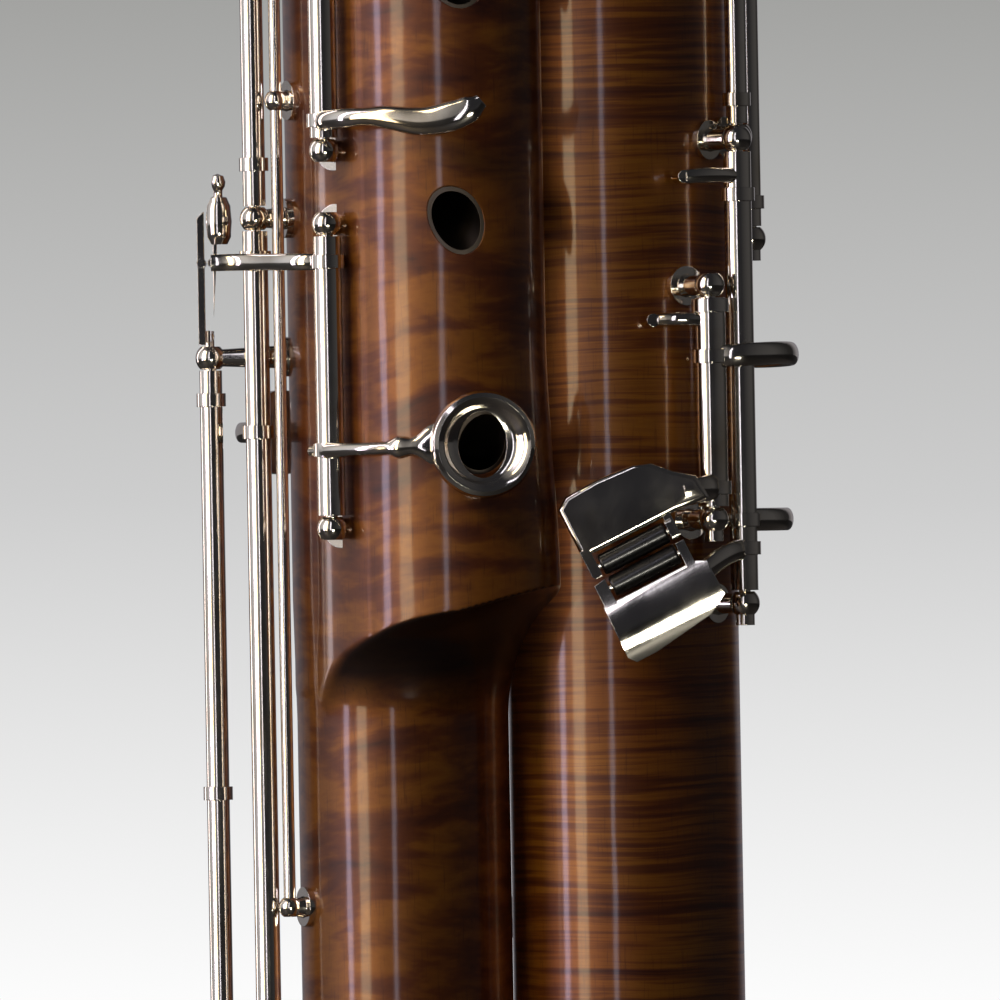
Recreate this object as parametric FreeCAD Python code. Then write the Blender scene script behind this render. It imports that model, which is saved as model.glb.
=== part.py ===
import FreeCAD, Part

import math
import os

V = FreeCAD.Vector
UP = V(0, 0, 1)

# ---------------------------------------------------------------- driving dimensions, mm
BORE_SPACING = 37.3
WING_X = -BORE_SPACING / 2
LONG_X = BORE_SPACING / 2

CAP_HEIGHT = 48.0
BOOT_FOOT = 36.0
BOOT_TOP = 440.0
WING_TOP = 910.0
LONG_TOP = 1015.0
BELL_TOP = 1345.0
TENON = 26.0
BAND = 16.0

BOOT_WING_R = 21.0
BOOT_LONG_R = 23.0
WING_TUBE_R = 17.6
WING_R = 18.0
WING_NECK_R = 15.4
LONG_R = 19.3
JOINT_GAP = 0.4

# bore radii from the crook down and up again to the bell
WING_BORE = (4.7, 7.1)
BOOT_SMALL_BORE = (7.2, 8.8)
BOOT_LARGE_BORE = (9.2, 12.2)
LONG_BORE = (12.4, 16.2)
BELL_BORE = (16.4, 19.4)

# the playing face is turned a little toward the wing joint
FACE_TURN = 8.0

# shoulder of the wing joint, measured from the wing bore
SHOULDER_CENTRE = (9.1, -6.9)
SHOULDER_R = 22.6
SHOULDER_SIDE = 22.6
SHOULDER_CORNER = 12.0
SHOULDER_LOW = 542.0
SHOULDER_HIGH = 786.0
COVE_R = 19.0
TOP_BLEND_R = 70.0

# key work
STEEL_R = 1.0
RUN = 0.06
BALL_R = 2.5
BALL_HALF = 1.9
END_GAP = 0.15
TUBE_R = 2.3
PAD_THICK = 3.2
CUP_WALL = 0.8
SEAT_GAP = 0.03
LINER_WALL = 0.6
LIMB_SIDES = 16
STOP_R = 1.1
STANDING_PAD_R = 8.0
TUBE_END = 2.1

# little-finger touches: their slope in degrees, and their two rollers
SLOPE = 26.1
TOUCH_ORIGIN = (-4.75, -LONG_R, 568.5)
ROLLER_R = 1.8
ROLLER_LENGTH = 12.2
ROLLER_HEIGHT = 7.3
PIN_R = 0.5
ROLLERS = {"low_e_flat": 1.95, "low_c_sharp": 5.95}

# finger holes: across from the wing bore, height, radius and rise toward the bore
FINGER_HOLES = {
    "first": (12.0, 664.5, 4.3, 14.0),
    "second": (11.2, 625.0, 4.4, 22.0),
    "third": (15.8, 587.2, 4.4, -20.0),
}
# boot holes: angle from the front, height and radius
BOOT_HOLES = {"fourth": (0.0, 352.0, 4.4), "fifth": (0.0, 300.0, 4.8)}

# hand rest and strap ring
REST_ANGLE = -78.0
REST_Z = 384.0
STRAP_RING_R = 4.7
STRAP_RING_WIDE = 2.6

# heights of posts that other parts meet
SIDE_POST_LOW = 466.0
SIDE_POST_MIDDLE = 625.5
SIDE_POST_HIGH = 881.7
GUARD_LOW = 511.0
GUARD_HIGH = 715.0

# a hinge line is (bore axis x, angle from the front toward +X, distance from that axis)
LINES = {
    "trill": (WING_X, -36.0, 24.0),
    "ring": (WING_X, -35.5, 23.9),
    "side": (WING_X, -84.5, 23.8),
    "bridge": (WING_X, -98.0, 31.0),
    "guard": (WING_X, -76.0, 20.8),
    "high_a": (WING_X, 150.0, 23.6),
    "low_e_flat": (LONG_X, 26.8, 26.6),
    "low_c_sharp": (LONG_X, 43.5, 25.8),
    "low_b": (LONG_X, 56.4, 22.6),
    "low_c": (LONG_X, 107.0, 25.0),
    "low_d": (LONG_X, 150.0, 25.0),
    "low_b_flat": (LONG_X, 205.0, 26.4),
    "g": (WING_X, -52.0, 27.0),
    "a_flat": (WING_X, -66.0, 27.0),
    "f": (LONG_X, 50.0, 29.0),
    "e": (WING_X, 216.0, 27.5),
    "b_flat": (LONG_X, 142.0, 29.0),
}

# how far each key turns from rest, degrees about +Z
TRAVEL = {
    "trill_key": -7.0,
    "ring_key": 4.0,
    "bridge_lever": -6.4,
    "whisper_key": 7.0,
    "c_sharp_key": 8.0,
    "high_a_key": -8.0,
    "low_e_flat_key": -7.0,
    "low_c_sharp_key": -7.0,
    "low_b_key": 9.0,
    "low_c_key": 9.0,
    "low_d_key": 9.0,
    "low_b_flat_lever": -8.0,
    "bell_key": -8.0,
    "g_key": 8.0,
    "a_flat_key": 9.0,
    "f_key": 9.0,
    "e_key": -8.0,
    "b_flat_key": -9.0,
}


# ---------------------------------------------------------------- places
def spot(line, z, out=0.0, turn=0.0):
    """A point on a hinge line's cylinder, moved outward and round the bore."""
    x, angle, distance = line
    a = math.radians(angle + turn)
    return V(x + (distance + out) * math.sin(a), -(distance + out) * math.cos(a), z)


def laid(axis_x, x, y, z):
    """A point measured across and away from the playing face, from a bore axis."""
    a = math.radians(FACE_TURN)
    return V(axis_x + x * math.cos(a) + y * math.sin(a), -x * math.sin(a) + y * math.cos(a), z)


def placed(shape, origin, across, up):
    """The shape moved so its X runs across, its Y up and its Z out of that plane."""
    x = V(across).normalize()
    z = x.cross(up).normalize()
    y = z.cross(x)
    m = FreeCAD.Matrix(
        x.x, y.x, z.x, origin.x,
        x.y, y.y, z.y, origin.y,
        x.z, y.z, z.z, origin.z,
        0, 0, 0, 1,
    )
    moved = shape.copy()
    moved.Placement = FreeCAD.Placement(m).multiply(moved.Placement)
    return moved


def facing(shape, axis_x, angle, distance, z):
    """The shape moved so its Z points away from a bore axis at that angle."""
    a = math.radians(angle)
    origin = V(axis_x + distance * math.sin(a), -distance * math.cos(a), z)
    return placed(shape, origin, V(math.cos(a), math.sin(a), 0), UP)


def swung(shape, line, degrees):
    """The shape turned about a hinge line."""
    moved = shape.copy()
    moved.rotate(spot(line, 0), UP, degrees)
    return moved


# ---------------------------------------------------------------- simple forms
def cylinder(p, q, r):
    return Part.makeCylinder(r, (q - p).Length, p, q - p)


def ball(p, r):
    return Part.makeSphere(r, p)


def upright(x, y, z0, z1, r):
    return Part.makeCylinder(r, z1 - z0, V(x, y, z0))


def solid_of(shape):
    """The shape's one solid, with its faces pointing outward."""
    solid = shape.Solids[0]
    if solid.Volume < 0:
        solid.reverse()
    return solid


def spun(edges, axis_x):
    """The solid that a closed outline of edges sweeps round an upright axis."""
    return solid_of(Part.Face(Part.Wire(edges)).revolve(V(axis_x, 0, 0), UP, 360))


def turned(axis_x, outline):
    """A solid turned about a bore axis from (radius, height) points."""
    points = [V(axis_x + r, 0, z) for r, z in outline]
    return spun(Part.makePolygon(points + points[:1]).Edges, axis_x)


def joined(shapes):
    shape = shapes[0].fuse(shapes[1:]) if len(shapes) > 1 else shapes[0]
    return shape.removeSplitter()


def arm(points, width, thick):
    """A bar of oval section along a smooth curve; width lies along the height."""
    curve = Part.BSplineCurve()
    curve.interpolate(points)
    edge = curve.toShape()
    along = curve.tangent(curve.FirstParameter)[0]
    side = UP - along * UP.dot(along)
    if side.Length < 0.1:
        side = V(1, 0, 0)
    side.normalize()
    tall = side * (width / 2)
    deep = along.cross(side) * (thick / 2)
    long_axis, short_axis = (tall, deep) if width >= thick else (deep, tall)
    ring = Part.Ellipse(points[0] + long_axis, points[0] + short_axis, points[0]).toShape()
    return solid_of(Part.Wire([edge]).makePipeShell([Part.Wire([ring])], True, False))


def limb(sections, steps=5):
    """A smooth bar through oval sections given as (centre, half height, half thickness)."""
    curve = Part.BSplineCurve()
    curve.interpolate([c for c, tall, thick in sections])
    marks = [curve.parameter(c) for c, tall, thick in sections]
    rings = []
    for i in range(len(sections) - 1):
        last = i == len(sections) - 2
        for k in range(steps + 1 if last else steps):
            f = k / steps
            ease = f * f * (3 - 2 * f)
            t = marks[i] + (marks[i + 1] - marks[i]) * f
            tall = sections[i][1] + (sections[i + 1][1] - sections[i][1]) * ease
            thick = sections[i][2] + (sections[i + 1][2] - sections[i][2]) * ease
            centre = curve.value(t)
            along = curve.tangent(t)[0]
            side = along.cross(UP).normalize()
            rise = side.cross(along)
            corners = []
            for j in range(LIMB_SIDES):
                a = 2 * math.pi * j / LIMB_SIDES
                corners.append(centre + rise * (tall * math.cos(a)) + side * (thick * math.sin(a)))
            rings.append(Part.makePolygon(corners + corners[:1]))
    return solid_of(Part.makeLoft(rings, True, True))


def plate(width, height, thick, corner, edge):
    """A flat touch piece with round corners and softened upper edges, centred on X and Y."""
    block = Part.makeBox(width, height, thick, V(-width / 2, -height / 2, 0))
    sides = [e for e in block.Edges if abs(e.tangentAt(e.FirstParameter).z) > 0.9]
    block = block.makeFillet(corner, sides)
    rim = [e for e in block.Edges if min(v.Z for v in e.Vertexes) > thick - 0.01]
    return block.makeFillet(edge, rim)


# ---------------------------------------------------------------- the wood and what is set in it
class Wood:
    """One wooden piece: its outside, what is cut from it and the posts that stand on it."""

    def __init__(self, outline):
        self.outline = outline
        self.cuts = []
        self.posts = []

    def finished(self, bores):
        return self.outline.cut(bores + self.cuts)


def add_post(wood, line, z, surface, ball_r=BALL_R):
    """A ball post with a round foot, screwed into the wood, bored for the pivot steel."""
    x, angle, distance = line
    foot = facing(Part.makeCylinder(3.3, 2.6), x, angle, surface - 1.7, z)
    stem = facing(Part.makeCone(2.0, 1.35, distance - surface), x, angle, surface, z)
    head = ball(spot(line, z), ball_r)
    half = min(BALL_HALF, ball_r - 0.3)
    head = head.common(Part.makeBox(8, 8, 2 * half, spot(line, z) - V(4, 4, half)))
    shank = facing(Part.makeCylinder(1.4, 5.5), x, angle, surface - 5.5, z)
    body = joined([foot, stem, head]).cut(wood.outline)
    hole = upright(spot(line, z).x, spot(line, z).y, z - 5, z + 5, STEEL_R)
    wood.posts.append(joined([body, shank.common(wood.outline)]).cut(hole))
    wood.cuts.append(shank)


def add_hole(wood, axis_x, angle, z, hole_r, seat, pad_r):
    """A tone hole with a flat seat let into the wood."""
    wood.cuts.append(facing(Part.makeCylinder(hole_r, 60), axis_x, angle, 0, z))
    wood.cuts.append(facing(Part.makeCylinder(pad_r + 0.9, 40), axis_x, angle, seat, z))


def cup_and_pad(axis_x, angle, z, seat, pad_r):
    """A domed key cup and the pad in it, closed on a seat."""
    rim = pad_r + CUP_WALL
    low = 1.0
    outline = [V(0, 0, low), V(rim, 0, low), V(rim, 0, PAD_THICK)]
    edges = [Part.makeLine(a, b) for a, b in zip(outline, outline[1:])]
    crown = V(0, 0, PAD_THICK + 1.6)
    dome = Part.Arc(V(rim, 0, PAD_THICK), V(rim * 0.62, 0, PAD_THICK + 1.15), crown)
    edges += [dome.toShape(), Part.makeLine(crown, outline[0])]
    cup = spun(edges, 0)
    cup = cup.cut(Part.makeCylinder(pad_r, PAD_THICK - 0.4))
    pad = Part.makeCylinder(pad_r - 0.02, PAD_THICK - 0.45)
    pad = pad.makeFillet(0.5, [e for e in pad.Edges if e.Closed and e.CenterOfMass.z < 1])
    where = (axis_x, angle, seat + SEAT_GAP, z)
    return facing(cup, *where), facing(pad, *where)


def steel(line, z0, z1, head):
    """A pivot steel with a slotted head below or above its posts, or slotted flush with the lower one."""
    p = spot(line, z0)
    pin = upright(p.x, p.y, z0, z1, STEEL_R)
    if head == "flush":
        return pin.cut(Part.makeBox(4, 0.5, 0.6, V(p.x - 2, p.y - 0.25, z0)))
    head_z = z0 - 1.8 if head == "low" else z1
    slot_z = head_z if head == "low" else z1 + 1.0
    head = upright(p.x, p.y, head_z, head_z + 1.8, 1.6)
    slot = Part.makeBox(4, 0.5, 0.8, V(p.x - 2, p.y - 0.25, slot_z))
    return joined([pin, head.cut(slot)])


def key(line, low, high, r, parts, collars=()):
    """A hinge tube with its arms, cups and touches, bored to turn on its steel."""
    p = spot(line, 0)
    pieces = [upright(p.x, p.y, low, high, r)]
    for z in collars:
        pieces.append(upright(p.x, p.y, z - 1.1, z + 1.1, r + 0.55))
    body = joined(pieces + parts)
    return body.cut(upright(p.x, p.y, low - 40, high + 60, STEEL_R + RUN))


def reach(line, z, axis_x, angle, seat):
    """The arm from a hinge tube to the crown of a cup."""
    top = seat + PAD_THICK + 1.0
    middle = (line[2] + top) / 2 + 1.6
    through = spot((axis_x, (line[1] + angle) / 2, middle), z)
    return arm([spot(line, z), through, spot((axis_x, angle, top), z)], 3.6, 2.2)


def lever(line, wood_x, spec, z, seat, pad_r, swing=0.0):
    """Cup, pad and arm for one key, turned open by the swing; spec is the cup's angle."""
    cup, pad = cup_and_pad(wood_x, spec, z, seat, pad_r)
    bar = reach(line, z, wood_x, spec, seat)
    return [swung(cup, line, swing), swung(bar, line, swing)], swung(pad, line, swing)


def touch(line, z, angle, distance, size, start=None, lift=2.0):
    """A rounded touch piece on an arm from the hinge tube, at an angle round the same bore."""
    across, tall = size
    piece = facing(plate(across, tall, 2.0, min(across, tall) * 0.42, 0.7), line[0], angle, distance, z)
    begin = spot(line, z if start is None else start)
    end = spot((line[0], angle, distance + 1.0), z)
    far = (line[2] + distance) / 2 + lift
    through = spot((line[0], (line[1] + angle) / 2, far), (begin.z + z) / 2)
    return [piece, arm([begin, through, end], 3.4, 2.0)]


def seat_of(surface, pad_r):
    return math.sqrt(surface ** 2 - (pad_r + 0.9) ** 2) - 0.3


# ---------------------------------------------------------------- wooden joints
def wing_outline():
    profile = [
        (0, BOOT_TOP - TENON), (11.9, BOOT_TOP - TENON), (11.9, BOOT_TOP + 0.3),
        (WING_TUBE_R, BOOT_TOP + 0.3), (WING_TUBE_R, SHOULDER_LOW), (WING_R, SHOULDER_LOW + 20),
        (WING_R, 760), (WING_NECK_R, 872),
        (WING_NECK_R, 892), (14.6, 892), (14.6, WING_TOP - 0.2), (0, WING_TOP - 0.2),
    ]
    tube = turned(WING_X, profile)
    bulk = solid_of(shoulder_section().extrude(V(0, 0, SHOULDER_HIGH - SHOULDER_LOW)))
    cove = Part.makeTorus(WING_TUBE_R + COVE_R, COVE_R, V(WING_X, 0, SHOULDER_LOW), UP)
    blend = Part.makeTorus(WING_R + TOP_BLEND_R, TOP_BLEND_R, V(WING_X, 0, SHOULDER_HIGH), UP)
    return joined([tube, bulk.cut(cove).cut(blend)])


def around(centre, r, angle, z):
    """A point on a circle, angle in radians from +X."""
    return V(centre.x + r * math.cos(angle), centre.y + r * math.sin(angle), z)


def shoulder_section():
    """The shoulder's outline in plan, at its lower end."""
    z = SHOULDER_LOW
    bore_centre = V(WING_X, 0, z)
    middle = bore_centre + V(*SHOULDER_CENTRE, 0)
    root = bore_centre + V(0, -6.0, 0)
    offset = middle - bore_centre
    tilt = math.atan2(offset.y, offset.x) - math.acos(-(SHOULDER_R - WING_R) / offset.Length)
    leave = around(bore_centre, WING_R - 0.1, tilt, z)
    meet = around(middle, SHOULDER_R, tilt, z)
    inner_r = SHOULDER_R - SHOULDER_CORNER
    across = SHOULDER_SIDE - SHOULDER_CORNER - SHOULDER_CENTRE[0]
    corner = middle + V(across, -math.sqrt(inner_r ** 2 - across ** 2), 0)
    turn = math.atan2(corner.y - middle.y, corner.x - middle.x)
    start = tilt + 2 * math.pi if tilt < -math.pi else tilt
    front = around(middle, SHOULDER_R, turn, z)
    half_front = around(middle, SHOULDER_R, (start + turn) / 2, z)
    side = corner + V(SHOULDER_CORNER, 0, 0)
    half_corner = around(corner, SHOULDER_CORNER, turn / 2, z)
    room_r = LONG_R + JOINT_GAP
    room_y = math.sqrt(room_r ** 2 - (LONG_X - side.x) ** 2)
    brim = V(side.x, -room_y, z)
    edge = V(LONG_X - room_r, 0, z)
    lean = math.pi + math.asin(room_y / room_r) / 2
    half_room = around(V(LONG_X, 0, z), room_r, lean, z)
    return Part.Face(Part.Wire([
        Part.makeLine(root, leave), Part.makeLine(leave, meet), Part.Arc(meet, half_front, front).toShape(),
        Part.Arc(front, half_corner, side).toShape(), Part.makeLine(side, brim),
        Part.Arc(brim, half_room, edge).toShape(), Part.makeLine(edge, root),
    ]))


def long_outline():
    return turned(LONG_X, [
        (0, BOOT_TOP - TENON), (15.4, BOOT_TOP - TENON), (15.4, BOOT_TOP + 0.3), (LONG_R, BOOT_TOP + 0.3),
        (LONG_R, LONG_TOP - 0.2), (17.5, LONG_TOP - 0.2), (17.5, LONG_TOP + TENON), (0, LONG_TOP + TENON),
    ])


def bell_outline():
    foot = V(LONG_X + 24.0, 0, 1034)
    waist = V(LONG_X + 20.9, 0, 1130)
    mouth = V(LONG_X + 24.6, 0, 1322)
    flare = Part.Arc(waist, V(LONG_X + 21.7, 0, 1236), mouth)
    taper = Part.Arc(foot, V(LONG_X + 21.8, 0, 1076), waist)
    points = [
        mouth, V(LONG_X + 22.2, 0, 1322), V(LONG_X + 22.2, 0, 1336), V(LONG_X, 0, 1336),
        V(LONG_X, 0, LONG_TOP), V(LONG_X + 22.4, 0, LONG_TOP), V(LONG_X + 22.4, 0, 1034), foot,
    ]
    edges = [taper.toShape(), flare.toShape()]
    edges += [Part.makeLine(a, b) for a, b in zip(points, points[1:])]
    return spun(edges, LONG_X)


def oval(r_small, r_large, z0, z1):
    """A solid round both boot bores."""
    d = BORE_SPACING
    lean = math.asin((r_large - r_small) / d)
    small = V(WING_X, 0, z0)
    large = V(LONG_X, 0, z0)
    n = V(-math.sin(lean), math.cos(lean), 0)
    m = V(n.x, -n.y, 0)
    a, b = small + n * r_small, large + n * r_large
    c, e = large + m * r_large, small + m * r_small
    edges = [
        Part.makeLine(a, b),
        Part.Arc(b, large + V(r_large, 0, 0), c).toShape(),
        Part.makeLine(c, e),
        Part.Arc(e, small - V(r_small, 0, 0), a).toShape(),
    ]
    return Part.Face(Part.Wire(edges)).extrude(V(0, 0, z1 - z0))


def boot_outline():
    foot = oval(BOOT_WING_R - 1.6, BOOT_LONG_R - 1.6, BOOT_FOOT, CAP_HEIGHT + 0.2)
    middle = oval(BOOT_WING_R, BOOT_LONG_R, CAP_HEIGHT + 0.2, BOOT_TOP - BAND - 0.2)
    top = oval(BOOT_WING_R - 1.2, BOOT_LONG_R - 1.2, BOOT_TOP - BAND - 0.2, BOOT_TOP)
    return joined([foot, middle, top])


def bore(axis_x, radii, z0, z1):
    """A tapered bore, radii given at its low and high ends."""
    return Part.makeCone(radii[0], radii[1], z1 - z0, V(axis_x, 0, z0))


# ---------------------------------------------------------------- finger holes
def finger_bore(name, inset):
    """The slanted drilling of one wing finger hole, from the shoulder to the bore."""
    x, z, r, slant = FINGER_HOLES[name]
    outside = laid(WING_X, x + 1.5, -34.0, z - slant * 0.25)
    inside = laid(WING_X, 0, 0, z + slant)
    return cylinder(outside, inside, r - inset)


def finger_liner(name, wood):
    """A metal tube that lines a wing finger hole, flush with the wood."""
    tube = finger_bore(name, 0.0).cut(finger_bore(name, LINER_WALL))
    keep = upright(WING_X, 0, 500, 800, 11.0)
    return tube.common(wood.outline).cut(keep)


def boot_bore(name, inset):
    x, z, r = BOOT_HOLES[name]
    return facing(Part.makeCylinder(r - inset, 40), WING_X, x, 0, z)


def boot_liner(name, wood):
    tube = boot_bore(name, 0.0).cut(boot_bore(name, LINER_WALL))
    return tube.common(wood.outline).cut(upright(WING_X, 0, 200, 430, 12.0))


# ---------------------------------------------------------------- keys of the wing joint
def trill_key(wing):
    line = LINES["trill"]
    seat = seat_of(17.1, 5.5)
    add_hole(wing, WING_X, 2, 795, 2.4, seat, 5.5)
    parts, pad = lever(line, WING_X, 2, 795, seat, 5.5)
    finger = limb([
        (laid(WING_X, -11.6, -21.0, 641.0), 1.3, 1.1), (laid(WING_X, -11.0, -24.8, 641.2), 1.7, 1.2),
        (laid(WING_X, -8.4, -27.6, 641.4), 1.7, 1.3), (laid(WING_X, -4.4, -29.8, 641.6), 1.5, 1.2),
        (laid(WING_X, 0.0, -31.6, 641.3), 2.0, 1.1), (laid(WING_X, 4.8, -33.2, 640.6), 2.3, 1.0),
        (laid(WING_X, 9.4, -34.4, 641.2), 2.5, 1.0), (laid(WING_X, 12.8, -34.9, 642.4), 2.3, 1.0),
        (laid(WING_X, 14.9, -34.9, 643.8), 1.3, 0.7),
    ])
    body = key(line, 638.4, 809.9, TUBE_R, parts + [finger], (641.3, 795, 700))
    add_post(wing, line, 636.3, 19.85)
    add_post(wing, line, 812.0, 16.6)
    return body, pad


def ring_key(wing):
    line = LINES["ring"]
    x, z, r, slant = FINGER_HOLES["third"]
    ring = turned(0, [
        (4.0, 0), (8.0, 0), (8.7, 0.7), (8.9, 1.7), (8.5, 2.6), (7.8, 2.9), (7.1, 2.6), (5.6, 1.2), (4.0, 0.9),
    ])
    opening = Part.Ellipse(V(0, 5.5, -1), V(4.1, 0, -1), V(0, 0, -1)).toShape()
    ring = ring.cut(Part.Face(Part.Wire([opening])).extrude(V(0, 0, 5)))
    centre = laid(WING_X, 13.9, -30.4, z)
    ring = placed(ring, centre, laid(0, 0.98, 0.199, 0), UP)
    stalk = limb([
        (laid(WING_X, -14.2, -19.4, 586.6), 0.9, 0.8), (laid(WING_X, -11.4, -23.4, 586.7), 1.3, 1.2),
        (laid(WING_X, -6.6, -27.6, 586.8), 1.1, 1.0), (laid(WING_X, -1.6, -30.4, 586.9), 1.1, 1.0),
        (laid(WING_X, 0.4, -31.2, 587.0), 1.9, 1.3), (laid(WING_X, 2.6, -31.9, 587.1), 1.5, 1.1),
        (laid(WING_X, 6.0, -32.4, 587.3), 3.4, 0.9), (laid(WING_X, 8.2, -32.4, 587.4), 5.2, 0.8),
    ])
    link = arm([
        spot(line, 617.9), laid(WING_X, -17.0, -19.6, 618.0), laid(WING_X, -24.0, -12.6, 618.2),
        laid(WING_X, -30.5, -10.2, 618.2),
    ], 2.8, 1.4)
    finger = cylinder(laid(WING_X, -30.3, -10.4, 618.2), laid(WING_X, -30.3, -8.0, 618.2), 0.75)
    body = key(line, 575.9, 622.1, TUBE_R, [ring, stalk, link, finger], (586.8, 617.9))
    add_post(wing, line, 624.2, 19.85)
    add_post(wing, line, 573.8, 19.85)
    return body


def bridge_lever(wing):
    line = LINES["bridge"]
    r = 1.9
    outline = [
        (-32.9, 604.7), (-30.6, 604.7), (-29.6, 620.0), (-29.6, 624.4), (-30.4, 626.4), (-31.8, 626.9), (-32.9, 625.8),
    ]
    blade = Part.makePolygon([laid(WING_X, x, -0.8, z) for x, z in outline + outline[:1]])
    blade = Part.Face(blade).extrude(laid(0, 0, 1.6, 0))
    behind = laid(WING_X, -31.2, 3.7, 0)
    knob = laid(WING_X, -29.3, 0.0, 0)
    barrel = turned(0, [
        (0, 621.4), (1.5, 621.4), (2.1, 622.6), (2.3, 625.2), (2.1, 627.8), (1.5, 629.2), (0.8, 629.4),
        (0.8, 630.4), (1.2, 631.0), (1.35, 631.8), (1.0, 632.8), (0, 633.2),
    ])
    barrel.translate(V(knob.x, knob.y, 0))
    bars = [
        blade, barrel, upright(behind.x, behind.y, 594.4, 607.0, 0.85),
        cylinder(laid(WING_X, -31.3, 4.6, 606.1), laid(WING_X, -31.3, -0.3, 606.1), 1.0),
        cylinder(laid(WING_X, -31.1, 3.9, 595.5), laid(WING_X, -31.1, 0.4, 595.5), 1.2),
        cylinder(laid(WING_X, -32.1, 0.0, 618.2), laid(WING_X, -32.1, -9.0, 618.2), 0.8),
    ]
    foot = touch(line, 470, -62, 27.5, (10.0, 8.0), 462)
    add_post(wing, line, 602.5, WING_R)
    add_post(wing, line, 452.0, WING_TUBE_R)
    return key(line, 454.1, 600.4, r, bars + foot, (595.5, 530.0, 456.0))


def whisper_key(wing):
    line = LINES["side"]
    swing = -7.0
    nipple = V(WING_X, -9.9, 926.0)
    pad = Part.makeCylinder(3.2, 2.2, nipple, V(0, -1, 0))
    cup = Part.makeCylinder(3.9, 3.2, nipple + V(0, -0.9, 0), V(0, -1, 0)).cut(
        Part.makeCylinder(3.22, 1.35, nipple + V(0, -0.85, 0), V(0, -1, 0)))
    crook = arm([
        spot(line, 872), laid(WING_X, -30.0, -7.0, 881), laid(WING_X, -26.0, -13.0, 905),
        V(WING_X - 4.0, -14.6, 922), V(WING_X, -13.6, 926),
    ], 3.0, 2.4)
    thumb = touch(line, 690, -150, 25.0, (11.0, 15.0))
    parts = [swung(cup, line, swing), swung(crook, line, swing)] + thumb
    body = key(line, 627.6, 879.6, 1.9, parts, (634.5, 760, 872))
    add_post(wing, line, SIDE_POST_MIDDLE, WING_R)
    add_post(wing, line, SIDE_POST_HIGH, WING_NECK_R)
    return body, swung(pad, line, swing)


def c_sharp_key(wing):
    line = LINES["side"]
    seat = seat_of(WING_TUBE_R, 5.5)
    add_hole(wing, WING_X, -128, 486, 2.8, seat, 5.5)
    parts, pad = lever(line, WING_X, -128, 486, seat, 5.5)
    thumb = touch(line, 590, -140, 26.0, (12.0, 14.0))
    add_post(wing, line, SIDE_POST_LOW, WING_TUBE_R)
    return key(line, 468.1, 623.4, 2.1, parts + thumb, (486, 590, 619)), pad


def high_a_key(wing):
    line = LINES["high_a"]
    seat = seat_of(17.3, 5.0)
    add_hole(wing, WING_X, 192, 768, 2.2, seat, 5.0)
    parts, pad = lever(line, WING_X, 192, 768, seat, 5.0)
    thumb = touch(line, 724, 182, 25.0, (12.0, 16.0))
    add_post(wing, line, 690, WING_R)
    add_post(wing, line, 780, 17.6)
    return key(line, 692.1, 777.9, 2.1, parts + thumb, (724, 768)), pad


def guard_steel(wing):
    """The rod that keeps clothes out of the keys, on three small posts."""
    line = LINES["guard"]
    for z, surface in ((GUARD_LOW, WING_TUBE_R), (645.0, WING_R), (GUARD_HIGH, WING_R)):
        add_post(wing, line, z, surface, 1.9)


# ---------------------------------------------------------------- little-finger touches
def sloped(shape):
    """The shape moved into the sloping plane of the little-finger touches."""
    s = math.radians(SLOPE)
    origin = laid(LONG_X, *TOUCH_ORIGIN)
    right = laid(0, 1, 0, 0)
    along = right * math.cos(s) + UP * math.sin(s)
    up = UP * math.cos(s) - right * math.sin(s)
    return placed(shape, origin, along, up)


def sloped_point(s, t, h):
    return sloped(Part.Vertex(s, -t, h)).Vertexes[0].Point


def touch_sheet(points, low, high):
    """A touch plate from its outline along and down the slope."""
    face = Part.Face(Part.makePolygon([V(s, -t, low) for s, t in points + points[:1]]))
    return face.extrude(V(0, 0, high - low))


def softened(sheet, high, edge):
    rim = [e for e in sheet.Edges if min(v.Z for v in e.Vertexes) > high - 0.01]
    return sheet.makeFillet(edge, rim)


def roller(name):
    """An ebonite roller with its pin hole, lying along the slope."""
    t = ROLLERS[name]
    a = V(0.3, -t, ROLLER_HEIGHT)
    body = Part.makeCylinder(ROLLER_R, ROLLER_LENGTH, a, V(1, 0, 0))
    body = body.makeFillet(0.45, [e for e in body.Edges if e.Closed])
    return sloped(body.cut(Part.makeCylinder(PIN_R + RUN, ROLLER_LENGTH, a, V(1, 0, 0))))


def roller_pin(name):
    t = ROLLERS[name]
    return Part.makeCylinder(PIN_R, ROLLER_LENGTH + 2.4, V(-0.9, -t, ROLLER_HEIGHT), V(1, 0, 0))


def ear(name, s, wide=1.0):
    """A bracket that holds one end of a roller pin."""
    t = ROLLERS[name]
    block = Part.makeBox(wide, 3.4, 3.6, V(s, -t - 1.7, ROLLER_HEIGHT - 1.9))
    return block.makeFillet(0.5, [e for e in block.Edges if abs(e.tangentAt(e.FirstParameter).x) > 0.9])


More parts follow.
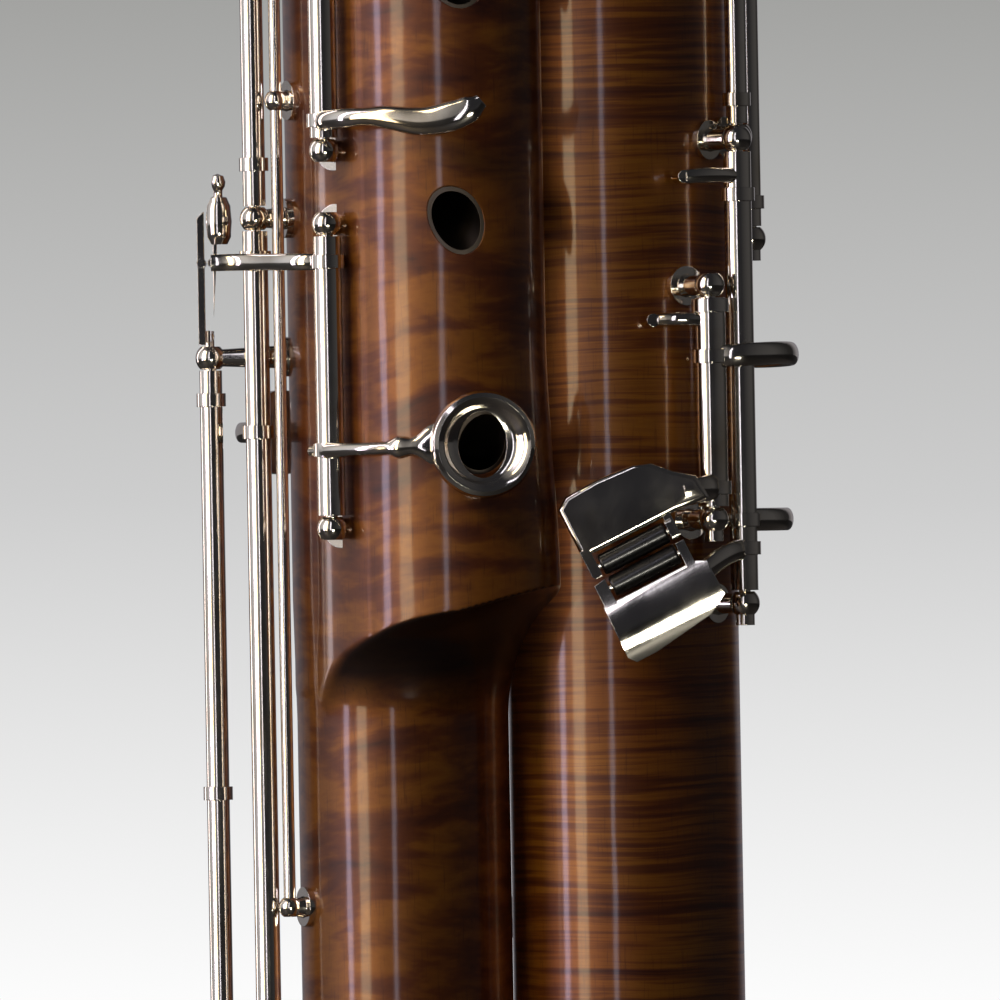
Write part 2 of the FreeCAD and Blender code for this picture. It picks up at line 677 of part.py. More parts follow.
def low_e_flat_key(long_joint):
    line = LINES["low_e_flat"]
    outline = [
        (-1.9, -9.4), (0.2, -10.8), (6.0, -11.0), (12.4, -10.5), (15.4, -9.4), (18.0, -6.6),
        (21.0, -4.2), (21.4, 0.1), (15.4, -0.4), (-1.9, -0.4),
    ]
    sheet = softened(touch_sheet(outline, 6.8, 8.8), 8.8, 0.8)
    blade = [(-1.9, -1.6), (-0.2, -1.6), (-0.2, 3.6), (-1.5, 3.6), (-1.9, 3.0)]
    edge = touch_sheet(blade, 5.6, 8.8)
    foot = touch_sheet([(13.0, -1.6), (14.4, -1.6), (14.4, 3.4), (13.0, 3.4)], 5.4, 8.6)
    plate_parts = [sloped(s) for s in (sheet, edge, foot, roller_pin("low_e_flat"))]
    bracket = sloped(ear("low_e_flat", 12.8, 1.2))
    rise = arm([
        spot(line, 579.5), laid(LONG_X, 14.2, -25.6, 579.3), laid(LONG_X, 10.5, -26.9, 578.6),
    ], 4.4, 2.6)
    stop = arm([
        spot(line, 607.2), laid(LONG_X, 11.0, -23.6, 607.4), laid(LONG_X, 6.0, -22.6, 607.3),
    ], 2.3, 2.0)
    stop_foot = cylinder(laid(LONG_X, 5.8, -24.0, 607.3), laid(LONG_X, 5.4, -20.6, 607.3), STOP_R)
    seat = seat_of(LONG_R, 7.5)
    add_hole(long_joint, LONG_X, 94, 602, 5.0, seat, 7.5)
    cup, pad = cup_and_pad(LONG_X, 94, 602, seat, 7.5)
    over = arm([
        spot(line, 601.1), laid(LONG_X, 21.4, -22.9, 601.4), laid(LONG_X, 27.2, -17.0, 601.6),
        laid(LONG_X, 28.8, -8.5, 601.4), laid(LONG_X, 26.0, -1.0, 601.2), laid(LONG_X, 21.6, 3.2, 601.2),
    ], 3.8, 2.2)
    parts = plate_parts + [bracket, rise, stop, stop_foot, cup, over]
    add_post(long_joint, line, 613.0, LONG_R)
    add_post(long_joint, line, 574.2, LONG_R)
    return key(line, 576.3, 610.9, 2.55, parts, (609.6, 601.2, 579.4)), pad


def low_c_sharp_key(long_joint):
    line = LINES["low_c_sharp"]
    outline = [
        (-2.5, 8.3), (14.4, 8.3), (16.2, 9.2), (16.4, 15.4), (13.0, 17.4), (2.0, 18.9), (-1.7, 18.9), (-2.7, 17.6),
    ]
    sheet = touch_sheet(outline, 3.0, 9.4)
    crown = Part.makeCylinder(17.0, 24, V(-4, -13.2, 8.9 - 17.0), V(1, 0, 0))
    hollow = Part.makeCylinder(15.2, 24, V(-4, -13.2, 8.9 - 17.0), V(1, 0, 0))
    sheet = sheet.common(crown).cut(hollow)
    blade = touch_sheet([(-2.3, 4.5), (-0.2, 4.2), (-0.2, 9.4), (-2.3, 9.4)], 5.4, 8.3)
    foot = touch_sheet([(12.8, 4.3), (14.4, 4.3), (14.4, 9.4), (12.8, 9.4)], 5.4, 8.3)
    plate_parts = [sloped(s) for s in (sheet, blade, foot, roller_pin("low_c_sharp"))]
    rise = arm([
        spot(line, 568.9), laid(LONG_X, 17.5, -21.2, 568.4), laid(LONG_X, 13.4, -25.0, 565.4),
        laid(LONG_X, 10.4, -26.0, 562.0),
    ], 3.6, 2.4)
    stop = arm([
        spot(line, 631.0), laid(LONG_X, 16.4, -20.6, 631.2), laid(LONG_X, 11.6, -22.3, 631.0),
    ], 2.5, 2.0)
    stop_foot = cylinder(laid(LONG_X, 11.4, -23.2, 631.0), laid(LONG_X, 10.3, -18.4, 631.0), STOP_R)
    seat = seat_of(LONG_R, 7.5)
    add_hole(long_joint, LONG_X, 98, 574, 5.0, seat, 7.5)
    cup, pad = cup_and_pad(LONG_X, 98, 574, seat, 7.5)
    over = arm([
        spot(line, 574), laid(LONG_X, 25.2, -12.4, 574), laid(LONG_X, 27.6, -4.6, 574),
        laid(LONG_X, 25.6, 1.6, 574), laid(LONG_X, 21.4, 4.6, 574),
    ], 3.8, 2.2)
    parts = plate_parts + [rise, stop, stop_foot, cup, over]
    add_post(long_joint, line, 637.2, LONG_R)
    add_post(long_joint, line, 560.2, LONG_R)
    return key(line, 562.3, 635.1, TUBE_R, parts, (628.0, 574.0, 569.3)), pad


# ---------------------------------------------------------------- keys of the long joint and bell
def standing_key(wood, line, cup_angle, cup_z, posts, thumb):
    """An open key of the long joint: hinge tube, cup held off its seat, and a thumb touch."""
    seat = seat_of(LONG_R, STANDING_PAD_R)
    add_hole(wood, line[0], cup_angle, cup_z, STANDING_PAD_R * 0.66, seat, STANDING_PAD_R)
    parts, pad = lever(line, line[0], cup_angle, cup_z, seat, STANDING_PAD_R, -9.0)
    for z in posts:
        add_post(wood, line, z, LONG_R)
    low, high = posts[0] + TUBE_END, posts[1] - TUBE_END
    return key(line, low, high, 1.8, parts + thumb, (low + 4, cup_z, high - 8)), pad


def low_b_key(long_joint):
    line = LINES["low_b"]
    thumb = touch(line, 676, 146, 27.0, (13.0, 16.0), lift=7.4)
    return standing_key(long_joint, line, 108, 890, (637.8, 905.0), thumb)


def low_c_key(long_joint):
    line = LINES["low_c"]
    thumb = touch(line, 650, 148, 26.5, (13.0, 15.0))
    return standing_key(long_joint, line, 160, 745, (621.0, 760.0), thumb)


def low_d_key(long_joint):
    line = LINES["low_d"]
    thumb = touch(line, 594, 186, 26.5, (14.0, 18.0))
    return standing_key(long_joint, line, 206, 508, (486.0, 607.0), thumb)


def low_b_flat_lever(long_joint):
    line = LINES["low_b_flat"]
    thumb = touch(line, 636, 182, 26.5, (13.0, 18.0))
    add_post(long_joint, line, 622.0, LONG_R)
    add_post(long_joint, line, 985.0, LONG_R)
    crook = arm([spot(line, 978), spot(line, 984, 4.2), spot(line, 992, 5.0)], 2.4, 2.4)
    post_arm = cylinder(spot(line, 990.5, 5.0), spot(line, 1003, 5.0), 1.3)
    tongue = cylinder(spot(line, 1002, 5.0), spot(line, 1052, 5.0), 1.1)
    return key(line, 624.1, 982.9, 2.1, thumb + [crook, post_arm, tongue], (636, 800, 975))


def bell_key(bell):
    line = LINES["low_b_flat"]
    seat = seat_of(21.1, 8.5)
    add_hole(bell, LONG_X, 158, 1160, 6.2, seat, 8.5)
    parts, pad = lever(line, LONG_X, 158, 1160, seat, 8.5, 8.0)
    fork = []
    for side in (-1.9, 1.9):
        turn = math.degrees(side / (line[2] + 5.0))
        fork.append(cylinder(spot(line, 1044, 5.0, turn), spot(line, 1062, 5.0, turn), 0.7))
        bend = [spot(line, 1061.5, 5.0, turn), spot(line, 1063.5, 3.0, turn / 2), spot(line, 1065)]
        fork.append(arm(bend, 1.5, 1.4))
    add_post(bell, line, 1059.0, 22.0)
    add_post(bell, line, 1176.0, 20.9)
    return key(line, 1061.1, 1173.9, 2.1, parts + fork, (1066.5, 1160)), pad


# ---------------------------------------------------------------- keys of the boot
def g_key(boot):
    line = LINES["g"]
    seat = seat_of(BOOT_WING_R, 8.0)
    add_hole(boot, WING_X, 0, 250, 5.6, seat, 8.0)
    parts, pad = lever(line, WING_X, 0, 250, seat, 8.0, -8.0)
    add_post(boot, line, 230, BOOT_WING_R)
    add_post(boot, line, 270, BOOT_WING_R)
    return key(line, 232.1, 267.9, 2.2, parts, (250,)), pad


def a_flat_key(boot):
    line = LINES["a_flat"]
    seat = seat_of(BOOT_WING_R, 7.5)
    add_hole(boot, WING_X, -112, 124, 5.0, seat, 7.5)
    parts, pad = lever(line, WING_X, -112, 124, seat, 7.5)
    finger = touch(line, 196, -8, 28.0, (20.0, 10.0), 192, lift=3.0)
    add_post(boot, line, 110, BOOT_WING_R)
    add_post(boot, line, 206, BOOT_WING_R)
    return key(line, 112.1, 203.9, 2.2, parts + finger, (124, 192)), pad


def f_key(boot):
    line = LINES["f"]
    seat = seat_of(BOOT_LONG_R, 9.0)
    add_hole(boot, LONG_X, 92, 132, 6.4, seat, 9.0)
    parts, pad = lever(line, LONG_X, 92, 132, seat, 9.0, -9.0)
    finger = touch(line, 184, -12, 30.0, (24.0, 11.0), 186, lift=3.0)
    add_post(boot, line, 116, BOOT_LONG_R)
    add_post(boot, line, 206, BOOT_LONG_R)
    return key(line, 118.1, 203.9, 2.2, parts + finger, (132, 186)), pad


def e_key(boot):
    line = LINES["e"]
    seat = seat_of(BOOT_WING_R, 8.5)
    add_hole(boot, WING_X, 176, 318, 6.0, seat, 8.5)
    parts, pad = lever(line, WING_X, 176, 318, seat, 8.5, 8.0)
    cake = Part.makeCylinder(13.0, 1.7)
    cake = cake.makeFillet(0.7, [e for e in cake.Edges if e.Closed])
    cake = swung(facing(cake, WING_X, 176, seat + PAD_THICK + 1.2, 318), line, 8.0)
    add_post(boot, line, 296, BOOT_WING_R)
    add_post(boot, line, 340, BOOT_WING_R)
    return key(line, 298.1, 337.9, 2.2, parts + [cake], (318,)), pad


def b_flat_key(boot):
    line = LINES["b_flat"]
    seat = seat_of(BOOT_LONG_R, 7.5)
    add_hole(boot, LONG_X, 184, 386, 5.0, seat, 7.5)
    parts, pad = lever(line, LONG_X, 184, 386, seat, 7.5)
    thumb = touch(line, 322, 190, 28.5, (14.0, 18.0))
    add_post(boot, line, 306, BOOT_LONG_R)
    add_post(boot, line, 402, BOOT_LONG_R)
    return key(line, 308.1, 399.9, 2.2, parts + thumb, (322, 386)), pad


# ---------------------------------------------------------------- metal and soft fittings
def boot_cap():
    outer = oval(BOOT_WING_R + 0.2, BOOT_LONG_R + 0.2, 0, CAP_HEIGHT)
    base = oval(BOOT_WING_R + 1.2, BOOT_LONG_R + 1.2, 0, 3.0)
    inside = oval(BOOT_WING_R - 1.55, BOOT_LONG_R - 1.55, 2.0, CAP_HEIGHT + 1)
    rim = oval(BOOT_WING_R + 1.0, BOOT_LONG_R + 1.0, CAP_HEIGHT - 4.0, CAP_HEIGHT - 1.0)
    return joined([outer, base, rim]).cut(inside)


def u_tube():
    centre = V(0, 0, BOOT_FOOT - 3.4)
    outer = Part.makeTorus(BORE_SPACING / 2, 9.9, centre, V(0, 1, 0))
    inner = Part.makeTorus(BORE_SPACING / 2, 9.1, centre, V(0, 1, 0))
    below = Part.makeBox(90, 40, 40, V(-45, -20, centre.z - 40))
    flange = oval(13.0, 13.0, centre.z, centre.z + 1.4)
    holes = [upright(x, 0, centre.z - 2, centre.z + 3, 9.1) for x in (WING_X, LONG_X)]
    return joined([outer.common(below), flange]).cut([inner.common(below)] + holes)


def u_tube_gasket():
    low = BOOT_FOOT - 2.0
    holes = [upright(x, 0, low - 1, BOOT_FOOT + 1, 9.1) for x in (WING_X, LONG_X)]
    return oval(13.5, 13.5, low, BOOT_FOOT).cut(holes)


def boot_top_band():
    band = oval(BOOT_WING_R + 0.6, BOOT_LONG_R + 0.6, BOOT_TOP - BAND, BOOT_TOP)
    bead = oval(BOOT_WING_R + 1.4, BOOT_LONG_R + 1.4, BOOT_TOP - 3.2, BOOT_TOP - 0.6)
    foot = oval(BOOT_WING_R + 1.2, BOOT_LONG_R + 1.2, BOOT_TOP - BAND, BOOT_TOP - BAND + 2)
    room = oval(BOOT_WING_R - 1.2, BOOT_LONG_R - 1.2, BOOT_TOP - BAND - 1, BOOT_TOP + 1)
    centre = V(LONG_X, BOOT_LONG_R + 7.4, BOOT_TOP - 8)
    half = V(STRAP_RING_WIDE / 2, 0, 0)
    ring = cylinder(centre - half, centre + half, STRAP_RING_R + 2.4)
    ring = ring.makeFillet(0.8, [e for e in ring.Edges if e.Closed])
    ring = ring.cut(cylinder(centre - half * 2, centre + half * 2, STRAP_RING_R))
    lug = upright(LONG_X, BOOT_LONG_R + 1.0, BOOT_TOP - 11, BOOT_TOP - 5, 1.5)
    return joined([band, bead, foot, ring, lug]).cut(room)


def ferrule(axis_x, outer, inner, z0, z1):
    """A metal ring with two raised beads."""
    return turned(axis_x, [
        (inner, z0), (outer + 0.7, z0), (outer + 0.7, z0 + 1.6), (outer, z0 + 2.2), (outer, z1 - 2.6),
        (outer + 0.7, z1 - 2.0), (outer + 0.7, z1 - 0.4), (outer + 0.3, z1), (inner, z1),
    ])


def tenon_wraps():
    wraps = []
    for x, inner, outer, z0 in (
        (WING_X, 11.9, 13.0, BOOT_TOP - TENON + 3),
        (LONG_X, 15.4, 16.7, BOOT_TOP - TENON + 3),
        (LONG_X, 17.5, 18.6, LONG_TOP + 3),
    ):
        wraps.append(turned(x, [(inner, z0), (outer, z0), (outer, z0 + 19), (inner, z0 + 19)]))
    return wraps


def bell_ring():
    return turned(LONG_X, [
        (22.2, 1322.0), (25.2, 1322.0), (26.6, 1323.6), (27.2, 1327.0), (26.6, 1330.4), (25.6, 1332.0),
        (26.4, 1334.4), (27.6, 1338.0), (27.4, 1342.0), (25.6, 1344.4), (23.0, BELL_TOP), (20.6, 1344.2),
        (19.6, 1341.0), (19.6, 1336.0), (22.2, 1336.0),
    ])


def body_lock():
    """The lock that holds the wing and long joints together near the top of the wing."""
    z = 862.0
    block = Part.makeBox(6.0, 7.0, 15.0, V(-3.0, 13.4, z))
    block = block.makeFillet(1.2, [e for e in block.Edges if abs(e.tangentAt(e.FirstParameter).z) > 0.9])
    pin = cylinder(V(0, 13.0, z + 7.5), V(0, 16.4, z + 7.5), 1.5)
    room = [upright(WING_X, 0, z - 5, z + 25, WING_R - 0.2), upright(LONG_X, 0, z - 5, z + 25, LONG_R)]
    return joined([block, pin]).cut(room)


CROOK_PATH = [
    (WING_X, 0, 890), (WING_X, 0, 915), (WING_X, 0, 938), (-24.5, 1.6, 968), (-46, 7.6, 1000),
    (-82, 18, 1020), (-126, 30, 1021), (-170, 41, 1002), (-200, 48, 976),
]


def crook_path():
    curve = Part.BSplineCurve()
    curve.interpolate([V(*p) for p in CROOK_PATH])
    return curve


def crook_taper(r0, r1):
    curve = crook_path()
    first, last = curve.FirstParameter, curve.LastParameter
    rings = []
    for t, r in ((first, r0), (last, r1)):
        rings.append(Part.Wire([Part.Circle(curve.value(t), curve.tangent(t)[0], r).toShape()]))
    return solid_of(Part.Wire([curve.toShape()]).makePipeShell(rings, True, False))


def bocal_tube():
    tube = crook_taper(4.4, 2.7)
    band = ferrule(WING_X, 5.9, 3.6, WING_TOP + 3.5, WING_TOP + 9.5)
    nipple = cylinder(V(WING_X, 0, 926), V(WING_X, -9.7, 926), 1.7)
    tip = crook_path().value(crook_path().LastParameter)
    inner = crook_taper(3.7, 2.1)
    vent = cylinder(V(WING_X, 0, 926), V(WING_X, -10, 926), 0.5)
    return joined([tube, band, nipple]).cut([inner, vent])


def bocal_cork():
    sleeve = turned(WING_X, [(3.0, 890.5), (5.9, 891.5), (5.9, WING_TOP + 3.2), (3.0, WING_TOP + 3.2)])
    return sleeve.cut(crook_taper(4.4, 2.7))


def reed_frame():
    curve = crook_path()
    t = curve.LastParameter
    return curve.value(t), curve.tangent(t)[0]


def reed_blades(sections):
    """A loft through oval sections given as (distance, half width, half depth)."""
    tip, along = reed_frame()
    side = along.cross(V(0, 1, 0.25)).normalize()
    flat = along.cross(side)
    rings = []
    for d, wide, deep in sections:
        c = tip + along * d
        rings.append(Part.Wire([Part.Ellipse(c + flat * wide, c + side * deep, c).toShape()]))
    return solid_of(Part.makeLoft(rings, True, False))


REED_OUTSIDE = [(-6.0, 3.9, 3.85), (6.0, 3.7, 3.6), (20.0, 4.6, 3.0), (34.0, 6.2, 2.2), (48.0, 7.8, 1.0)]
REED_INSIDE = [(-6.5, 2.95, 2.9), (6.0, 2.8, 2.6), (20.0, 3.6, 2.1), (34.0, 5.2, 1.3), (48.5, 6.9, 0.45)]


def reed_cane():
    """Two scraped blades opening from a round throat to a flat tip."""
    return reed_blades(REED_OUTSIDE).cut(reed_blades(REED_INSIDE))


def reed_binding():
    """The thread ball and the wires round the throat."""
    tip, along = reed_frame()
    thread = cylinder(tip + along * -5.5, tip + along * 5.0, 5.4)
    thread = thread.makeFillet(2.2, [e for e in thread.Edges if e.Closed])
    room = reed_blades(REED_OUTSIDE)
    wires = []
    for d, r in ((8.0, 4.1), (15.0, 4.4)):
        wires.append(Part.makeTorus(r, 0.5, tip + along * d, along))
    return [s.cut(room) for s in [thread] + wires]


# ---------------------------------------------------------------- hand rest
def rest_point(out, z):
    a = math.radians(REST_ANGLE)
    return V(WING_X + out * math.sin(a), -out * math.cos(a), z)


def rest_socket():
    """The socket on the boot that takes the hand rest's stem."""
    foot = facing(plate(12.0, 26.0, 2.2, 5.0, 0.6), WING_X, REST_ANGLE, BOOT_WING_R - 0.4, REST_Z)
    tower = Part.makeCylinder(4.2, 16.0, rest_point(BOOT_WING_R + 5.2, REST_Z - 8.0))
    hole = Part.makeCylinder(2.05, 18.0, rest_point(BOOT_WING_R + 5.2, REST_Z - 9.0))
    side = V(rest_point(1, 0) - rest_point(0, 0)).cross(UP)
    middle = rest_point(BOOT_WING_R + 5.2, REST_Z)
    thread = cylinder(middle, middle + side * 8.0, 1.25)
    return joined([foot, tower]).cut([hole, thread])


def hand_rest():
    """A crutch: a palm-shaped block on a stem that turns in the socket."""
    base = rest_point(BOOT_WING_R + 5.2, REST_Z)
    stem = upright(base.x, base.y, REST_Z - 11.0, REST_Z + 16.0, 2.0)
    a = math.radians(REST_ANGLE)
    outward = V(math.sin(a), -math.cos(a), 0)
    across = V(math.cos(a), math.sin(a), 0)
    saddle = [
        (base + UP * 18 + across * -17 + outward * 4, 3.6, 6.6),
        (base + UP * 19 + across * -7 + outward * 9, 4.6, 10.6),
        (base + UP * 20 + across * 5 + outward * 12, 5.0, 12.0),
        (base + UP * 21 + across * 16 + outward * 11, 4.4, 10.0),
    ]
    rings = []
    for c, a_half, b_half in saddle:
        rings.append(Part.Wire([Part.Ellipse(c + outward * b_half, c + UP * a_half, c).toShape()]))
    block = Part.makeLoft(rings, True, False)
    return joined([stem, block])


def hand_rest_screw():
    base = rest_point(BOOT_WING_R + 5.2, REST_Z)
    side = V(rest_point(1, 0) - rest_point(0, 0)).cross(UP)
    shank = cylinder(base + side * 2.15, base + side * 9.0, 1.2)
    head = cylinder(base + side * 9.0, base + side * 12.0, 4.2)
    head = head.makeFillet(0.8, [e for e in head.Edges if e.Closed])
    return joined([shank, head])


# ---------------------------------------------------------------- springs and steels
def spring(line, z, length, out=-3.3):
    """A needle spring that leaves its post and lies along the hinge tube."""
    p = spot(line, z, out)
    z0, z1 = (z + 1.75, z + 1.75 + length) if length > 0 else (z - 1.75 + length, z - 1.75)
    return upright(p.x, p.y, z0, z1, 0.3)


# hinge line, height of the lower post, height of the upper post, end that has the head
STEELS = [
    ("trill", 636.3, 812.0, "high"), ("ring", 573.8, 624.2, "flush"), ("bridge", 452.0, 602.5, "low"),
    ("high_a", 690.0, 780.0, "low"), ("low_e_flat", 574.2, 613.0, "low"), ("low_c_sharp", 560.2, 637.2, "low"),
    ("low_b", 637.8, 905.0, "high"), ("low_c", 621.0, 760.0, "low"), ("low_d", 486.0, 607.0, "low"),
    ("low_b_flat", 622.0, 985.0, "low"), ("low_b_flat", 1059.0, 1176.0, "high"), ("g", 230.0, 270.0, "low"),
    ("a_flat", 110.0, 206.0, "low"), ("f", 116.0, 206.0, "low"), ("e", 296.0, 340.0, "low"),
    ("b_flat", 306.0, 402.0, "low"),
]
# hinge line, height of the spring's post and length; a negative length runs down
SPRINGS = [
    ("low_d", 486.0, 12.0), ("g", 230.0, 10.0),
    ("e", 296.0, 12.0), ("low_b_flat", 622.0, 9.0), ("b_flat", 402.0, -9.0),
]


def pivot_steels():
    """Every steel; the two on the side line meet inside their shared post."""
    made = []
    for name, z0, z1, head in STEELS:
        made.append(steel(LINES[name], z0 - BALL_HALF, z1 + BALL_HALF, head))
    side = LINES["side"]
    made.append(steel(side, SIDE_POST_MIDDLE + 0.1, SIDE_POST_HIGH + BALL_HALF, "high"))
    made.append(steel(side, SIDE_POST_LOW - BALL_HALF, SIDE_POST_MIDDLE - 0.1, "low"))
    guard = spot(LINES["guard"], 0)
    made.append(upright(guard.x, guard.y, GUARD_LOW - 1.6, GUARD_HIGH + 1.6, STEEL_R))
    return made


def build():
    os.makedirs("parts", exist_ok=True)
    wing = Wood(wing_outline())
    long_joint = Wood(long_outline())
    bell = Wood(bell_outline())
    boot = Wood(boot_outline())
    nodes = {}

    def keep(name, made):
        nodes[name] = made[0]
        nodes[name.replace("_key", "_pad")] = made[1]

    keep("trill_key", trill_key(wing))
    nodes["ring_key"] = ring_key(wing)
    nodes["bridge_lever"] = bridge_lever(wing)
    keep("whisper_key", whisper_key(wing))
    keep("c_sharp_key", c_sharp_key(wing))
    keep("high_a_key", high_a_key(wing))
    guard_steel(wing)
    keep("low_e_flat_key", low_e_flat_key(long_joint))
    keep("low_c_sharp_key", low_c_sharp_key(long_joint))
    keep("low_b_key", low_b_key(long_joint))
    keep("low_c_key", low_c_key(long_joint))
    keep("low_d_key", low_d_key(long_joint))
    nodes["low_b_flat_lever"] = low_b_flat_lever(long_joint)
    keep("bell_key", bell_key(bell))
    keep("g_key", g_key(boot))
    keep("a_flat_key", a_flat_key(boot))
    keep("f_key", f_key(boot))
    keep("e_key", e_key(boot))
    keep("b_flat_key", b_flat_key(boot))
    nodes["low_e_flat_roller"] = roller("low_e_flat")
    nodes["low_c_sharp_roller"] = roller("low_c_sharp")

    joint_foot = BOOT_TOP - TENON
    long_end = LONG_TOP + TENON
    nodes["wing_joint"] = wing.finished([
        bore(WING_X, WING_BORE[::-1], joint_foot - 1, 890.2),
        upright(WING_X, 0, 890, 920, 5.95),
    ] + [finger_bore(name, 0.0) for name in FINGER_HOLES])
    nodes["long_joint"] = long_joint.finished([bore(LONG_X, LONG_BORE, joint_foot - 1, long_end + 1)])
    nodes["bell"] = bell.finished([
        bore(LONG_X, BELL_BORE, long_end, BELL_TOP),
        upright(LONG_X, 0, LONG_TOP - 1, long_end + 0.4, 18.7),
    ])
    nodes["boot"] = boot.finished([
        bore(WING_X, BOOT_SMALL_BORE[::-1], BOOT_FOOT - 1, BOOT_TOP),
        bore(LONG_X, BOOT_LARGE_BORE, BOOT_FOOT - 1, BOOT_TOP),
        upright(WING_X, 0, joint_foot - 0.4, BOOT_TOP + 1, 13.1),
        upright(LONG_X, 0, joint_foot - 0.4, BOOT_TOP + 1, 16.8),
    ] + [boot_bore(name, 0.0) for name in BOOT_HOLES])
    nodes["wing_posts"] = Part.makeCompound(wing.posts)
    nodes["long_posts"] = Part.makeCompound(joined(long_joint.posts).Solids + bell.posts)
    nodes["boot_posts"] = Part.makeCompound(boot.posts + [rest_socket().cut(boot.outline)])
    nodes["pivot_steels"] = Part.makeCompound(pivot_steels())
    liners = [finger_liner(name, wing) for name in FINGER_HOLES]
    liners += [boot_liner(name, boot) for name in BOOT_HOLES]
    nodes["hole_liners"] = Part.makeCompound(liners)
    nodes["needle_springs"] = Part.makeCompound([spring(LINES[n], z, d) for n, z, d in SPRINGS])
    nodes["boot_cap"] = boot_cap()
    nodes["u_tube"] = u_tube()
    nodes["u_tube_gasket"] = u_tube_gasket()
    nodes["boot_top_band"] = boot_top_band()
    nodes["wing_top_ferrule"] = ferrule(WING_X, 16.0, 14.6, 892.2, WING_TOP)
    nodes["bell_ferrule"] = ferrule(LONG_X, 24.2, 22.4, LONG_TOP, 1033.8)
    nodes["bell_ring"] = bell_ring()
    nodes["tenon_wraps"] = Part.makeCompound(tenon_wraps())
    nodes["body_lock"] = body_lock()
    nodes["bocal_tube"] = bocal_tube()
    nodes["bocal_cork"] = bocal_cork()
    nodes["reed_cane"] = reed_cane()
    nodes["reed_binding"] = Part.makeCompound(reed_binding())
    nodes["hand_rest"] = hand_rest()
    nodes["hand_rest_screw"] = hand_rest_screw()
    for name, shape in nodes.items():
        shape.exportStep("parts/" + name + ".step")


if __name__ == "__main__":
    build()
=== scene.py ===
import math

import bpy
import numpy as np
from mathutils import Matrix, Vector


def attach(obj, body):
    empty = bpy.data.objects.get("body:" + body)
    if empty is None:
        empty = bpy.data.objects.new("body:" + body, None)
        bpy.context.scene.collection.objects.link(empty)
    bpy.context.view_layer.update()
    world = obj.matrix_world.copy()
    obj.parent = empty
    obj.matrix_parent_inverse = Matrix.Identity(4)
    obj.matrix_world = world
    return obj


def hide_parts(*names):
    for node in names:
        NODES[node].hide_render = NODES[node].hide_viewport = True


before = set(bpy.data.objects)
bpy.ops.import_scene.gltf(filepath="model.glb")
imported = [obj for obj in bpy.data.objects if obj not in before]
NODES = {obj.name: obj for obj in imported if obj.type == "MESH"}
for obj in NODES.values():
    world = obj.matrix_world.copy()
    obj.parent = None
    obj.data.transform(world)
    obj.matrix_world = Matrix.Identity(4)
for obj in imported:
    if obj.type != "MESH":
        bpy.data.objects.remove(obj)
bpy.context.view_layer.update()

MM = 0.001

# ---------------------------------------------------------------- sizes of the wooden joints, mm
WING_X = -18.65
LONG_X = 18.65
FACE_TURN = math.radians(8.0)
BOOT_WING_R = 21.0
BOOT_LONG_R = 23.0
LONG_R = 19.3
SHOULDER_LOW = 542.0
SHOULDER_HIGH = 786.0
SHOULDER_MIDDLE = (9.1, -6.9)
SHOULDER_R = 22.6
SHOULDER_CORNER = 12.0
SHOULDER_SIDE = 22.6
SIDE_FLARE = 1.8
FLARE_TOP = 606.0
FLARE_HEIGHT = 44.0
COVE_R = 19.0
COVE_GROWTH = 5.0
COVE_GROWTH_START = 0.2
COVE_GROWTH_TURN = 0.7
TOP_BLEND_R = 70.0
FLANK_R = 17.8
FLANK_RISE = 5.4
FLANK_POWER = 1.3
FLANK_START = math.radians(-60.0)
FLANK_END = math.radians(-20.0)
CREASE = 0.8
NO_LIMIT = 60.0
TUBE_LOW_R = 17.6
TUBE_R = 18.0
TUBE_TOP_R = 15.4
TUBE_HEIGHTS = (SHOULDER_LOW, SHOULDER_LOW + 20, 760.0, 872.0)
CAP_EDGE = 48.2
BORE_START = 30.0
BORE_DRILL = 420.0
TENON_END = 414.0
BOOT_BORE_END = 413.6
BOOT_WOOD_END = 423.8
BOOT_TOP = 440.0
JOINT_START = 440.3
WING_END = 891.2
WING_SOCKET = 909.8
WING_BORE_END = 890.0
LONG_END = 1014.8
LONG_TENON_END = 1041.0
BELL_START = 1015.0
BELL_END = 1322.0
BELL_RIM = 1336.0
BELL_MOUTH = 1345.0
EDGE_BREAK = 0.4
SIDES = 360
ROD_SIDES = 64
# a wave texture repeats every 2 pi / 20 units
BANDS_PER_PITCH = 0.314
WING_ROWS = ((446, 540, 6), (541, 568, 0.3), (569, 740, 3), (741, 788, 2), (792, 890, 6))

# drills: room round a pad, depth and chamfer of its seat, and how far a drill starts, ends and leans
PAD_ROOM = 0.9
SEAT_DEPTH = 0.3
CHAMFER = 0.3
DRILL_START = 0.5
DRILL_LENGTH = 40.0
FINGER_LEAN = 1.5
FINGER_REACH = 34.0
WOOD_CREASE = 35.0
CAD_CREASE = 40.0

